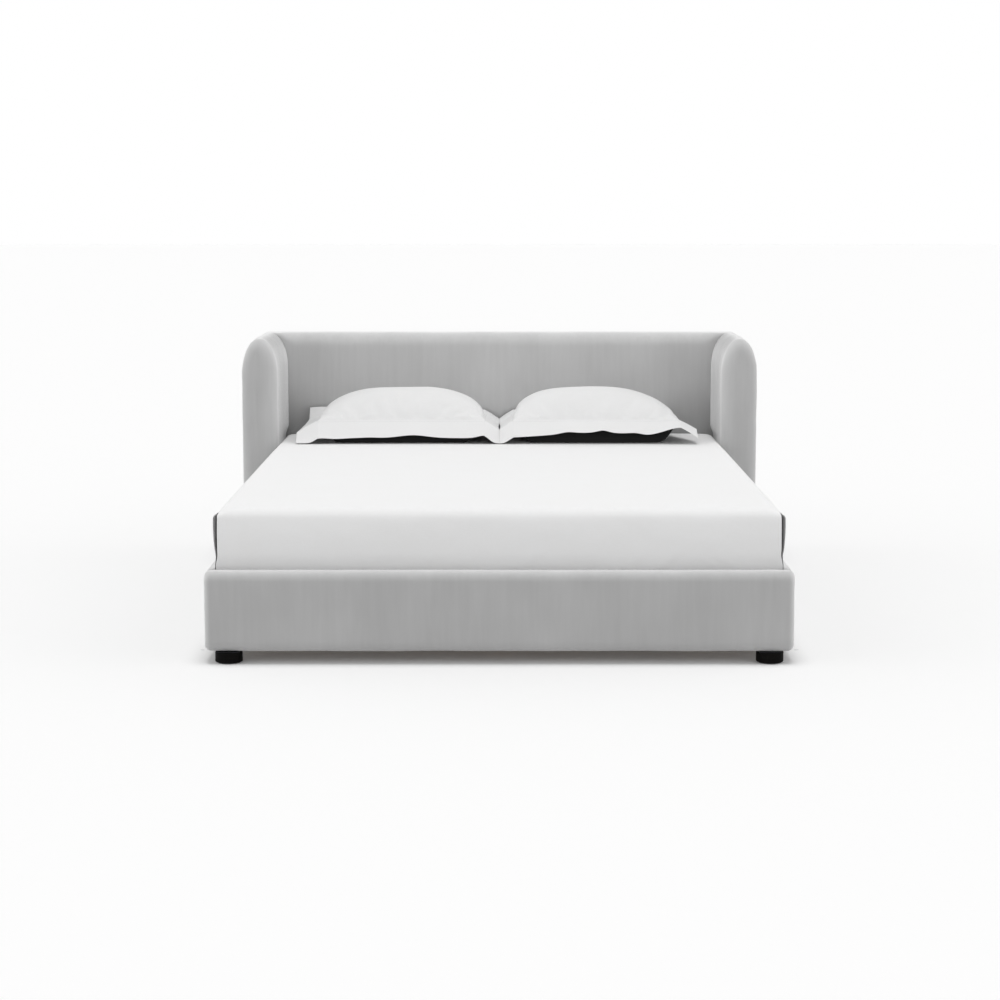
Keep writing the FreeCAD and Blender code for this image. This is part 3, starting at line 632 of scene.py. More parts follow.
def make_wing(name, side):
    """A wing: an arched slab whose leading edge and arch are rounded over foam."""
    loops = []
    face_half = ARCH_HALF - (WING_NOSE_INSIDE + WING_NOSE_OUTSIDE) / 2
    for share in between(0.97, 0.0, 9)[:-1]:
        more = share * face_half
        loops.append(wing_outline(
            WING_LOW.y, WING_NOSE_INSIDE + more, WING_NOSE_OUTSIDE + more, WING_NOSE_TOP + more, WING_BROW
        ))
    depths = [WING_NOSE_INSIDE * (1 - math.cos(math.pi / 2 * step / 16)) for step in range(17)]
    depths += between(WING_NOSE_INSIDE, WING_HIGH.y - WING_LOW.y, 30)[1:]
    for depth in depths:
        brow = WING_BROW * (1 - smooth(depth / 0.20))
        inside = rounded_off(depth, WING_NOSE_INSIDE)
        outside = rounded_off(depth, WING_NOSE_OUTSIDE)
        top = rounded_off(depth, WING_NOSE_TOP)
        loops.append(wing_outline(WING_LOW.y + depth, inside, outside, top, brow))
    placed = [[(side * x, y, z) for x, y, z in loop] for loop in loops]
    piece = point_outwards(loft(f"{name}_wing_upholstery", placed))

    def free(p):
        return smooth((WING_HIGH.y - p.y) / 0.03) * smooth((p.z - BED_SHEET_HIGH.z) / 0.05)

    return ripple(piece, 0.0013, 0.10, 5 + side, free)


def wing_outline(y, inside, outside, top, brow):
    """The wing's outline at y: up the outside, over the arch and down the inside."""
    low, high = WING_LOW.x + inside, WING_HIGH.x - outside
    bottom = WING_LOW.z + outside * 0.5
    spring = WING_HIGH.z - brow - ARCH_RISE
    centre, wide = (low + high) / 2, (high - low) / 2
    outline = [(low + share * 2 * wide, bottom) for share in between(0.0, 1.0, 7)[:-1]]
    outline += [(high, z) for z in between(bottom, spring, 46)[:-1]]
    for step in range(37):
        angle = math.pi * step / 36
        outline.append((centre + wide * math.cos(angle), spring + (ARCH_RISE - top) * math.sin(angle)))
    outline += [(low, z) for z in reversed(between(bottom, spring, 46)[1:-1])]
    leaning = []
    for x, z in outline:
        inward = WING_LEAN * smooth((y - WING_LOW.y - 0.08) / 0.24)
        inward *= smooth((z - BED_SHEET_HIGH.z + 0.004) / 0.03)
        share = smooth((WING_HIGH.x - x) / (2 * ARCH_HALF))
        leaning.append((x - inward * share, y, z))
    return leaning


def wing_painted_shade(p):
    """Painted shade on the wing's inner side, behind its nose, towards the headboard."""
    inner = smooth((ARCH_CENTRE - abs(p.x)) / 0.03)
    return inner * smooth((p.y - WING_LOW.y - 0.035) / 0.05)


def headboard_painted_shade(p):
    """Painted shade low in the headboard's corners beside the wings."""
    beside = smooth((abs(p.x) - 0.50) / 0.24)
    low = 1 - smooth((p.z - BED_SHEET_HIGH.z) / 0.20)
    return beside * low


def make_headboard():
    """The headboard: its top rounds over foam and drops at both ends as the wings' arches do."""
    top = HEAD_HIGH.z
    spring = ARCH_CENTRE
    loops = []
    arch = []
    for step in range(1, 15):
        angle = math.pi / 2 * step / 14
        arch.append((spring + ARCH_HALF * math.sin(angle), top - ARCH_RISE * (1 - math.cos(angle))))
    stations = [(-x, z) for x, z in reversed(arch)]
    stations += [(x, top) for x in between(-spring, spring, 130)]
    stations += arch
    for x, height in stations:
        past = max(0.0, abs(x) - (HEAD_HIGH.x - HEAD_BACK_ROUND)) / HEAD_BACK_ROUND
        back = HEAD_HIGH.y - HEAD_BACK_ROUND * (1 - math.sqrt(max(0.0, 1 - past * past)))
        brow = 0.012 + (HEAD_BROW - 0.012) * (1 - smooth((abs(x) - 0.715) / 0.075))
        rounds = (0.003, 0.008, min(HEAD_BACK_ROUND, (back - HEAD_LOW.y) * 0.5), brow)
        outline = rounded_outline((HEAD_LOW.y, HEAD_LOW.z), (back, height), rounds, turn=9, along=(8, 56))
        loops.append([(x, y, z) for y, z in outline])
    piece = point_outwards(loft("headboard_upholstery", loops))
    for vertex in piece.data.vertices:
        p = vertex.co
        facing = smooth((HEAD_LOW.y + 0.05 - p.y) / 0.05)
        above = smooth((p.z - BED_SHEET_HIGH.z - 0.02) / 0.08) * smooth((top - p.z) / 0.05)
        across = 1 - smooth((abs(p.x) - 0.60) / 0.12)
        p.y -= HEAD_CROWN * facing * above * across
    piece.data.update()

    def free(p):
        return smooth((p.z - BED_SHEET_HIGH.z) / 0.05) * smooth((HEAD_HIGH.y - 0.02 - p.y) / 0.02)

    return ripple(piece, 0.0012, 0.11, 9, free)


def make_back_cloth():
    """The covered panel that closes the headboard's back, with a turned edge."""
    low, high = PANEL_LOW, PANEL_HIGH
    face = HEAD_HIGH.y
    steps = [(0.0, high.y - 0.002), (0.0, face + 0.0004), (0.0008, face + 0.0016), (0.0024, face + 0.0022)]
    steps += [(0.012, face + 0.0018), (0.05, face + 0.0014)]
    loops = []
    for inset, y in steps:
        loops.append([(x, y, z) for x, z in back_outline(low, high, inset)])
    piece = point_outwards(loft("headboard_back_cloth", loops))
    return piece


def back_outline(low, high, inset):
    """The back panel's outline: square at the floor and arched at its top corners."""
    outline = []
    for x in between(low.x + inset, high.x - inset, 60)[:-1]:
        outline.append((x, low.z + inset))
    wide = ARCH_HALF - 0.026 - inset * 0.4
    tall = ARCH_RISE - 0.026 - inset * 0.4
    for z in between(low.z + inset, high.z - inset - tall, 24)[:-1]:
        outline.append((high.x - inset, z))
    for step in range(11):
        angle = math.pi / 2 * step / 10
        drop = tall * (1 - math.sin(angle))
        outline.append((high.x - inset - wide * (1 - math.cos(angle)), high.z - inset - drop))
    for x in reversed(between(low.x + inset + wide, high.x - inset - wide, 60)[1:-1]):
        outline.append((x, high.z - inset))
    for step in range(11):
        angle = math.pi / 2 * (1 + step / 10)
        drop = tall * (1 - math.sin(angle))
        outline.append((low.x + inset + wide * (1 + math.cos(angle)), high.z - inset - drop))
    for z in reversed(between(low.z + inset, high.z - inset - tall, 24)[1:-1]):
        outline.append((low.x + inset, z))
    return outline


front_rail = make_front_rail()
finish_piece(front_rail, "bed", ["front_rail_cover", "front_rail_foam"], VELVET)
# The headboard and the wings carry marks of painted shade in their corners.
headboard = mark_painted_shade(make_headboard(), headboard_painted_shade)
finish_piece(headboard, "bed", ["headboard_cover", "headboard_foam"], HEAD_VELVET_PAINTED_LIGHTER)
back_cloth = make_back_cloth()
finish_piece(back_cloth, "bed", ["headboard_back_panel"], VELVET)
for name, side in SIDES.items():
    rail = make_side_rail(name, side)
    finish_piece(rail, "bed", [f"{name}_rail_cover", f"{name}_rail_foam"], VELVET)
    wing = mark_painted_shade(make_wing(name, side), wing_painted_shade)
    finish_piece(wing, "bed", [f"{name}_wing_cover", f"{name}_wing_foam"], WING_VELVET)

STITCHES = Fastening("stitches_along_a_seam", rounded=True)
STAPLES = Fastening("staples_along_an_edge", rounded=False)
back_seam = [(x, HEAD_HIGH.y + 0.0021, z) for x, z in back_outline(PANEL_LOW, PANEL_HIGH, 0.007)]
BACK_STITCH = (0.0030, 0.0006, 0.0006)
BACK_STITCH_SPACING = 0.011
STAPLE = (0.0052, 0.0007, 0.0004)
STAPLE_SPACING = 0.027
STAPLE_PROUD = 0.0002
FRONT_STAPLES_HALF = 0.80
STITCHES.along(
    "back_cloth_stitches", [back_seam + back_seam[:1]], BACK_STITCH_SPACING, BACK_STITCH, GREY_THREAD,
    "bed", "velvet",
)
below, row_y = RAIL_LOW.z - STAPLE_PROUD, RAIL_HIGH.y - 0.009
staple_lines = [[(-FRONT_STAPLES_HALF, row_y, below), (FRONT_STAPLES_HALF, row_y, below)]]
for side in SIDES.values():
    x, z = side * (SIDE_LOW.x + 0.010), SIDE_LOW.z - STAPLE_PROUD
    staple_lines.append([(x, SIDE_LOW.y + 0.06, z), (x, SIDE_HIGH.y - 0.03, z)])
    x, z = side * (WING_LOW.x + 0.030), WING_LOW.z - STAPLE_PROUD
    staple_lines.append([(x, WING_LOW.y + 0.07, z), (x, WING_HIGH.y - 0.03, z)])
STAPLES.along("upholstery_staples", staple_lines, STAPLE_SPACING, STAPLE, STEEL, "bed", "zinc_steel")

# ---------------------------------------------------------------- mattress and sheet

FRONT_STEPS = 150
SIDE_STEPS = 168
PLAN_ROUND = 0.022
SLIT_LIP = 7
SLIT_FOLD = 7
SLIT_WIDE = 0.0105
SLIT_DEEP = 0.045
SHEET_TOP_ROWS = 22
SHEET_SIDE_ROWS = 30
SHEET_HEEL = 0.014
SHEET_SIDE_BULGE = 0.0105
SHEET_FRONT_BULGE = 0.009
TUCK_SLOPE = 0.042


def plan_loop(half, front, back, radius, slit=0.0, deep=0.0):
    """A mattress outline seen from above, with an open slit at each front corner."""
    radius = max(radius, 0.0015)
    loop = []
    for x in between(-half + radius, half - radius, FRONT_STEPS)[:-1]:
        loop.append((x, front))
    loop += slit_corner(half, front, radius, slit, deep, 1)
    for y in between(front + radius, back - radius, SIDE_STEPS)[1:-1]:
        loop.append((half, y))
    for step in range(9):
        angle = math.pi / 2 * step / 8
        loop.append((half - radius + radius * math.cos(angle), back - radius + radius * math.sin(angle)))
    for x in reversed(between(-half + radius, half - radius, FRONT_STEPS)[1:-1]):
        loop.append((x, back))
    for step in range(9):
        angle = math.pi / 2 * (1 + step / 8)
        loop.append((-half + radius + radius * math.cos(angle), back - radius + radius * math.sin(angle)))
    for y in reversed(between(front + radius, back - radius, SIDE_STEPS)[1:-1]):
        loop.append((-half, y))
    loop += reversed(slit_corner(half, front, radius, slit, deep, -1))
    return loop


def slit_corner(half, front, radius, slit, deep, side):
    """The arc round a front corner. The front cloth stops short of the side cloth, and both turn in."""
    share = min(1.0, slit / SLIT_WIDE * 1.6)
    arc = []
    for step in range(7):
        angle = math.radians(-90 + 78 * step / 6)
        arc.append((half - radius + radius * math.cos(angle), front + radius + radius * math.sin(angle)))
    lip = arc[-1]
    edge = half - slit * 0.1
    tight = []
    for step in range(7):
        turn = math.radians(-90 + 110 * step / 6)
        tight.append((edge - 0.004 + 0.004 * math.cos(turn), front + 0.0045 + 0.0045 * math.sin(turn)))
    front_part = [mixed(a, b, share) for a, b in zip(arc, tight)]
    fold = []
    for inward, outward in ((0.35, 0.0), (0.75, 0.08), (1.0, 0.25), (1.0, 0.6), (0.7, 0.85), (0.3, 0.97)):
        point = (edge + slit * outward, front + 0.006 + deep * inward)
        fold.append(mixed(lip, point, share))
    closing = []
    for inward, outward in ((0.0, 1.0), (-0.002, 1.04), (0.004, 1.08)):
        resting = (half, front + radius + 0.0002 * len(closing))
        closing.append(mixed(resting, (edge + slit * outward, front + 0.008 + inward), share))
    closing.append((half, front + radius * (1 + 0.4 * share) + 0.0008))
    return [(side * x, y) for x, y in front_part + fold + closing]


def mixed(first, second, share):
    """A point between two points."""
    return tuple(a + (b - a) * share for a, b in zip(first, second))


class Folds:
    """Soft diagonal creases that rise from where the sheet is tucked in."""

    def __init__(self, count, length, seed):
        chance = random.Random(seed)
        self.made = []
        for number in range(count):
            self.made.append((
                length * (number + chance.uniform(0.1, 0.9)) / count - length / 2,
                chance.choice((-1, 1)) * chance.uniform(0.5, 1.6),
                chance.uniform(0.03, 0.10),
                chance.uniform(0.006, 0.013),
                chance.uniform(0.0014, 0.0042),
            ))

    def at(self, along, up):
        total = 0.0
        for start, slope, reach, wide, high in self.made:
            if 0 <= up <= reach:
                across = (along - start - slope * up) / wide
                if abs(across) < 3:
                    fade = (1 - up / reach) ** 1.3 * smooth(up / 0.012)
                    total += high * fade * (math.exp(-across * across) - 0.5 * math.exp(-(across - 1.7) ** 2))
        return total


def make_sheet():
    """The fitted sheet, drawn over the mattress, slack over its borders and tucked under."""
    half, front, back = BED_SHEET_HIGH.x, BED_SHEET_LOW.y, BED_SHEET_HIGH.y
    top, bottom = BED_SHEET_HIGH.z, BED_SHEET_LOW.z + 0.0004
    front_folds = Folds(11, 2 * half, 3)
    side_folds = Folds(17, back - front, 8)
    rows = []
    for inset in between(half - 0.012, EDGE_ROUND, SHEET_TOP_ROWS):
        rows.append((inset, top, 0.0))
    for step in range(1, 9):
        angle = math.pi / 2 * step / 8
        z = top - EDGE_ROUND * (1 - math.cos(angle))
        rows.append((EDGE_ROUND * (1 - math.sin(angle)), z, smooth((step - 5) / 3)))
    for z in between(top - EDGE_ROUND, bottom + SHEET_HEEL, SHEET_SIDE_ROWS)[1:]:
        rows.append((0.0, z, 1.0))
    for step in range(1, 5):
        angle = math.pi / 2 * step / 4
        z = bottom + SHEET_HEEL * (1 - math.sin(angle))
        rows.append((SHEET_HEEL * (1 - math.cos(angle)), z, 0.0))
    for inset in between(SHEET_HEEL, HEM_UNDER, 6)[1:]:
        rows.append((inset, bottom, 0.0))
    loops = []
    open_from = RAIL_HIGH.z
    for inset, z, slit in rows:
        ease = smooth((z - open_from) / 0.05)
        narrow = smooth((z - open_from + 0.03) / 0.15)
        radius = min(PLAN_ROUND + 0.4 * inset, 0.9 * (half - inset))
        wide = SLIT_WIDE * slit * (0.12 + 0.88 * narrow)
        deep = SLIT_DEEP * slit * (0.3 + 0.7 * ease)
        loop = plan_loop(half - inset, front + inset, back - inset, radius, wide, deep)
        placed = []
        for x, y in loop:
            placed.append(slacken(x, y, z, inset, half, front, back, top, front_folds, side_folds))
        loops.append(placed)
    piece = loft("fitted_bed_sheet", loops, capped=(True, False))
    piece.data.materials.append(SHEET_COTTON)
    piece.data.materials.append(SLIT_SHADE)
    # The faces inside each corner slit take the near-black painted shade.
    size = len(loops[0])
    right_slit = FRONT_STEPS - 1 + SLIT_LIP - 1
    left_slit = size - SLIT_LIP - SLIT_FOLD
    inside = {start + step for start in (right_slit, left_slit) for step in range(SLIT_FOLD)}
    for row, (_, _, slit) in enumerate(rows[:-1]):
        if slit > 0.5:
            for column in inside:
                piece.data.polygons[row * size + column].material_index = 1
    face_up(piece)
    return piece


def tuck(z):
    """How far the border moves where it goes down behind the rail.

    The front moves in. On the sides slacken() drops the sign, so there the cloth moves out instead.
    """
    below_rail = 1 - smooth((z - RAIL_HIGH.z - 0.001) / TUCK_SLOPE)
    return TUCK * below_rail * smooth((z - BED_SHEET_LOW.z - 0.01) / 0.03)


def edge_dip(from_side, from_front):
    """How far the mattress's top falls away near its sides and its foot end."""
    left = 1.0
    for reach in (from_side, from_front):
        left *= 1 - max(0.0, 1 - max(0.0, reach) / EDGE_DIP_REACH) ** 2
    return EDGE_DIP * (1 - left)


def slacken(x, y, z, inset, half, front, back, top, front_folds, side_folds):
    """Where a point of the sheet lies once the cloth sags, bulges and creases."""
    low = RAIL_HIGH.z
    up = (z - low) / (top - low)
    bulge = math.sin(math.pi * min(1.0, max(0.0, up * 0.98))) if z < top else 0.0
    in_wings = smooth((y - WING_LOW.y + 0.09) / 0.08)
    on_side = smooth((abs(x) - half + 0.006) / 0.005)
    on_front = smooth((front + 0.05 - y) / 0.04)
    out_x = bulge * SHEET_SIDE_BULGE * on_side * (1 - in_wings) * smooth((y - front - 0.03) / 0.25)
    out_y = bulge * SHEET_FRONT_BULGE * on_front
    if z < top - 0.003 and z > low - 0.02:
        out_x += side_folds.at(y - (front + back) / 2, z - low + 0.004) * on_side * (1 - in_wings)
        out_y += front_folds.at(x, z - low + 0.004) * on_front
    soft = noise.noise(Vector((x * 3.1, y * 3.1, z * 3.1)))
    fine = noise.noise(Vector((x * 9.0, y * 9.0, z * 9.0)))
    crumple = noise.noise(Vector((x * 22.0, y * 22.0, z * 30.0)))
    out_x += (0.0011 * soft + 0.0006 * fine) * on_side * bulge * (1 - in_wings)
    out_y += (0.0034 * soft + 0.0021 * fine + 0.0006 * crumple) * on_front * bulge
    out_x -= tuck(z) * on_side * (1 - in_wings)
    out_y -= tuck(z) * smooth((front + 0.02 - y) / 0.015)
    height = z
    if z >= top - EDGE_ROUND:
        height -= edge_dip(half - abs(x), y - front)
        height -= 0.0008 * (0.5 + 0.5 * soft) + 0.0004 * (0.5 + 0.5 * fine)
    if inset > 0 and z < low:
        height += 0.0005 * math.sin(90 * (x + y)) * smooth((inset - 0.02) / 0.05)
    return (x + math.copysign(out_x, x), y - out_y, height)


def face_up(piece):
    """Turns an open skin so that its first, flat face looks up."""
    shell = bmesh.new()
    shell.from_mesh(piece.data)
    bmesh.ops.remove_doubles(shell, verts=shell.verts, dist=1e-6)
    bmesh.ops.recalc_face_normals(shell, faces=shell.faces)
    top_face = max(shell.faces, key=lambda f: f.calc_center_median().z)
    if top_face.normal.z < 0:
        bmesh.ops.reverse_faces(shell, faces=shell.faces)
    shell.to_mesh(piece.data)
    shell.free()
    piece.data.shade_smooth()


def make_mattress():
    """The mattress inside the sheet: rounded edges and a top that dips at its foot and sides."""
    half, front, back = MATTRESS_HIGH.x, MATTRESS_LOW.y, MATTRESS_HIGH.y
    low, high = MATTRESS_LOW.z + 0.0022, MATTRESS_HIGH.z - 0.001
    radius = EDGE_ROUND - 0.002
    rows = []
    for inset in between(half - 0.02, radius, 20):
        rows.append((inset, high))
    for step in range(1, 7):
        angle = math.pi / 2 * step / 6
        rows.append((radius * (1 - math.sin(angle)), high - radius * (1 - math.cos(angle))))
    for z in between(high - radius, low + radius * 0.7, 16)[1:]:
        rows.append((0.0, z))
    for step in range(1, 6):
        angle = math.pi / 2 * step / 5
        rows.append((radius * 0.7 * (1 - math.cos(angle)), low + radius * 0.7 * (1 - math.sin(angle))))
    for inset in between(radius * 0.7, half - 0.02, 20)[1:]:
        rows.append((inset, low))
    loops = []
    for inset, z in rows:
        inner = inset + 0.0035 + (tuck(z) if inset == 0.0 else 0.0)
        loop = plan_loop(half - inner, front + inner, back - inner, 0.020)
        placed = []
        for x, y in loop:
            dip = edge_dip(half - abs(x), y - front) if z > (low + high) / 2 else 0.0
            placed.append((x, y, z - 0.0018 - dip))
        loops.append(placed)
    return point_outwards(loft("mattress", loops))


sheet = make_sheet()
thick = sheet.modifiers.new("cloth", "SOLIDIFY")
thick.thickness = SHEET_CLOTH
thick.offset = -1.0
finish_piece(sheet, "mattress_set", ["fitted_sheet"])
mattress = make_mattress()
mattress_nodes = ["mattress_core", "mattress_cover", "mattress_underside"]
finish_piece(mattress, "mattress_set", mattress_nodes, TICKING)

# ---------------------------------------------------------------- pillows


SEAM_HEIGHT = 0.4915
CREST_HEIGHT = 0.5890
SEAM_HALF = 0.282
SEAM_FRONT = 0.645
SEAM_BACK = 0.936
BELLY_FRONT = 0.624
BELLY_BACK = 0.955
FLANGE_HANG = 0.056
FLANGE_OUT = 0.056
LAYER_GAP = 0.0011
BELLY_SIDE_WALL = 0.26
BELLY_END_WALL = 0.16


class Sham:
    """A pillow in its sham: a crowned body, a belly that rests on the bed and a wide flange round the seam.

    u runs from the bed's middle (-1) to its side (1), and v from its foot (-1) to its head (1).
    Both go on past 1 over the flange, in metres.
    """

    def __init__(
        self, side, middle, lean, rear_pull, inner_way, front_way, rear_way, rear_rise, corner_lift, lifts
    ):
        self.side = side
        self.lean = lean
        self.rear_rise = rear_rise
        self.middle = middle
        self.rear_pull = rear_pull
        self.inner_way = inner_way
        self.front_way = front_way
        self.rear_way = rear_way
        self.corner_lift = corner_lift
        self.lifts = lifts

    def hem(self, x):
        """How far the flange's front hem lifts in soft folds, along the pillow."""
        return sum(high * math.exp(-(((x - at) / wide) ** 2)) for at, wide, high in self.lifts)

    def seam(self, u, v):
        back = smooth((v + 1) / 2)
        pinch = 1 - 0.012 * (1 - v * v)
        x = self.middle + SEAM_HALF * u * pinch - self.rear_pull * back * max(0.0, u)
        y = (SEAM_FRONT + SEAM_BACK) / 2 + (SEAM_BACK - SEAM_FRONT) / 2 * v
        y += 0.008 * (1 - u * u) * (1 if v < 0 else -1) * abs(v) ** 3
        return Vector((x, y, SEAM_HEIGHT - 0.006 * back))

    def crown(self, u, v):
        """The upper skin."""
        point = self.seam(u, v)
        slid = min(1.0, abs(u + self.lean * (1 - u * u)))
        along = (1 - slid ** 2.8) ** 0.56
        deep = (1 - abs(v) ** 2.3) ** (0.72 if v < 0 else 0.5)
        bow = along * deep
        folds = 0.0026 * noise.noise(Vector((point.x * 8, point.y * 8, self.side)))
        folds += 0.0012 * noise.noise(Vector((point.x * 23, point.y * 17, self.side)))
        point.z += (CREST_HEIGHT - SEAM_HEIGHT + 0.003) * bow + folds * math.sqrt(bow) + LAYER_GAP
        point.y += 0.010 * bow * (1 - v * v)
        return point

    def belly(self, u, v):
        """The lower skin: it stands just inside the seam and lies flat on the bed."""
        point = self.seam(u, v)
        in_u, in_v = 1 - abs(u), 1 - abs(v)
        wall_u, wall_v = min(1.0, in_u / BELLY_SIDE_WALL), min(1.0, in_v / BELLY_END_WALL)
        rest_y = BELLY_FRONT if v < 0 else BELLY_BACK
        seam_y = self.seam(u, math.copysign(1.0, v)).y
        middle_y = (BELLY_FRONT + BELLY_BACK) / 2
        if in_v < BELLY_END_WALL:
            under_y = seam_y + (rest_y - seam_y) * math.sin(math.pi / 2 * wall_v)
        else:
            under_y = rest_y + (middle_y - rest_y) * (in_v - BELLY_END_WALL) / (1 - BELLY_END_WALL)
        point.y += (under_y - point.y) * smooth(wall_u)
        depth = wall_u * (2 - wall_u) * wall_v * (2 - wall_v)
        point.z -= LAYER_GAP
        point.z += (BED_SHEET_HIGH.z + 0.0007 - point.z) * depth
        return point

    def point(self, u, v, layer):
        inner_u, inner_v = max(-1.0, min(1.0, u)), max(-1.0, min(1.0, v))
        out_u, out_v = abs(u - inner_u) / FLANGE, abs(v - inner_v) / FLANGE
        if out_u == 0 and out_v == 0:
            return self.turned(self.crown(u, v) if layer > 0 else self.belly(u, v))
        place = self.seam(inner_u, inner_v)
        back = smooth((inner_v + 1) / 2)
        if out_u > 0:
            front_way = self.front_way if u > 0 else self.inner_way
            rear_way = self.rear_way if u > 0 else self.inner_way
            along = front_way[0] + (rear_way[0] - front_way[0]) * back
            fall = front_way[1] + (rear_way[1] - front_way[1]) * back
            place.x += math.copysign(along, u) * out_u
            place.z += fall * out_u + 0.0015 * math.sin(math.pi * out_u)
        if v < -1:
            corner = smooth((inner_u - 0.55) / 0.45) * self.corner_lift
            lift = self.hem(place.x - self.middle) + corner
            place.y -= (FLANGE_OUT + 0.25 * lift) * out_v
            place.z -= (FLANGE_HANG - lift) * out_v - 0.0015 * math.sin(math.pi * out_v)
        elif v > 1:
            rise = self.rear_rise * (1 + 0.6 * out_u) if u > 0 else 0.014
            place.y += 0.036 * out_v
            place.z += rise * out_v
        place.z = max(place.z, BED_SHEET_HIGH.z + 0.0022)
        place.z += layer * LAYER_GAP * (1 - max(out_u, out_v))
        return self.turned(place)

    def turned(self, place):
        return Vector((self.side * place.x, place.y, place.z))


# Each lift is its place along the hem, its half width and its height.
LEFT_LIFTS = (
    (0.272, 0.045, 0.009), (-0.042, 0.065, 0.010), (0.105, 0.035, 0.002), (-0.281, 0.030, 0.009),
)
RIGHT_LIFTS = (
    (0.0, 0.21, 0.019), (0.285, 0.04, 0.004), (-0.10, 0.03, 0.006), (0.02, 0.022, 0.009),
    (0.13, 0.03, 0.005),
)
SHAMS = {
    "left": Sham(
        side=-1, middle=0.334, lean=0.035, rear_pull=0.008,
        inner_way=(0.0530, -0.034), front_way=(0.076, -0.042), rear_way=(0.064, -0.017),
        rear_rise=0.024, corner_lift=-0.010, lifts=LEFT_LIFTS,
    ),
    "right": Sham(
        side=1, middle=0.330, lean=0.10, rear_pull=0.046,
        inner_way=(0.0490, -0.032), front_way=(0.060, -0.030), rear_way=(0.030, -0.004),
        rear_rise=0.013, corner_lift=0.030, lifts=RIGHT_LIFTS,
    ),
}


def make_sham(name):
    """Both skins of a sham, joined at the flange's rim."""
    sham = SHAMS[name]
    rim = [1.0, 0.97, 0.8, 0.55, 0.3, 0.1]
    across = [math.sin(math.pi / 2 * s) for s in between(-1, 1, 57)]
    deep = [math.sin(math.pi / 2 * s) for s in between(-1, 1, 37)]
    us = [-1 - FLANGE * e for e in rim] + across + [1 + FLANGE * e for e in reversed(rim)]
    vs = [-1 - FLANGE * e for e in rim] + deep + [1 + FLANGE * e for e in reversed(rim)]
    points, faces, keys = [], [], {}

    def add(i, j, layer):
        on_rim = i in (0, len(us) - 1) or j in (0, len(vs) - 1)
        key = (i, j, 0 if on_rim else layer)
        if key not in keys:
            keys[key] = len(points)
            points.append(sham.point(us[i], vs[j], key[2] if on_rim else layer))
        return keys[key]

    for layer in (1, -1):
        for i in range(len(us) - 1):
            for j in range(len(vs) - 1):
                corners = ((i, j), (i + 1, j), (i + 1, j + 1), (i, j + 1))
                faces.append(tuple(add(a, b, layer) for a, b in corners))
    piece = piece_from(f"{name}_sham_pillow", points, faces)
    piece.data.materials.append(SHAM_COTTON)
    piece.data.materials.append(SHAM_UNDERSIDE_PAINTED_SHADOW)
    # The lower skin takes the near-black painted shadow.
    upper = len(piece.data.polygons) // 2
    for polygon in piece.data.polygons:
        polygon.material_index = 0 if polygon.index < upper else 1
    return point_outwards(piece)


PUFF_FRAMES = 20
PUFF_LIMIT = 0.0045
PUFF_SLACK = 0.035


def puff(piece):
    """Lets the upper skin swell and pucker as cloth between its seams, by no more than PUFF_LIMIT."""
    mesh = piece.data
    start = [v.co.copy() for v in mesh.vertices]
    held = piece.vertex_groups.new(name="held")
    for vertex in mesh.vertices:
        p = vertex.co
        free = smooth((p.z - SEAM_HEIGHT - 0.003) / 0.012) * smooth((SEAM_BACK + 0.006 - p.y) / 0.01)
        held.add([vertex.index], 1.0 - free, "REPLACE")
    cloth = piece.modifiers.new("puff", "CLOTH")
    cloth.settings.quality = 6
    cloth.settings.mass = 0.25
    cloth.settings.bending_stiffness = 0.15
    cloth.settings.use_pressure = True
    cloth.settings.uniform_pressure_force = 4.0
    cloth.settings.shrink_min = -PUFF_SLACK
    cloth.settings.vertex_group_mass = "held"
    cloth.settings.effector_weights.gravity = 0.0
    cloth.collision_settings.use_collision = False
    for frame in range(1, PUFF_FRAMES + 1):
        bpy.context.scene.frame_set(frame)
    graph = bpy.context.evaluated_depsgraph_get()
    moved = [v.co.copy() for v in piece.evaluated_get(graph).data.vertices]
    piece.modifiers.remove(cloth)
    bpy.context.scene.frame_set(1)
    for vertex, before, after in zip(mesh.vertices, start, moved):
        change = after - before
        if change.length > PUFF_LIMIT:
            change *= PUFF_LIMIT / change.length
        vertex.co = before + change
    piece.vertex_groups.clear()
    mesh.update()


def seam_path(sham):
    """The line of stitches round the pillow, just out on the flange."""
    out = 1 + 0.11 * FLANGE
    around = between(-1, 1, 60)
    path = [(u, -out) for u in around] + [(out, v) for v in around]
    path += [(-u, out) for u in around] + [(-out, -v) for v in around]
    path.append(path[0])
    return [sham.point(u, v, 1) + Vector((0.0, -0.0003, 0.0003)) for u, v in path]


SHAM_STITCH = (0.0013, 0.0004, 0.0004)
SHAM_STITCH_SPACING = 0.0042
for name in SIDES:
    sham = make_sham(name)
    puff(sham)
    sham.modifiers.new("smooth", "SUBSURF").levels = 1
    sham.modifiers["smooth"].render_levels = 1
    finish_piece(
        sham, f"{name}_pillow_set", [f"{name}_sham", f"{name}_pillow"]
    )
    STITCHES.along(
        f"{name}_sham_stitches", [seam_path(SHAMS[name])], SHAM_STITCH_SPACING, SHAM_STITCH, THREAD,
        f"{name}_pillow_set", "sham_cotton",
    )

# ---------------------------------------------------------------- finishes of the frame's own parts

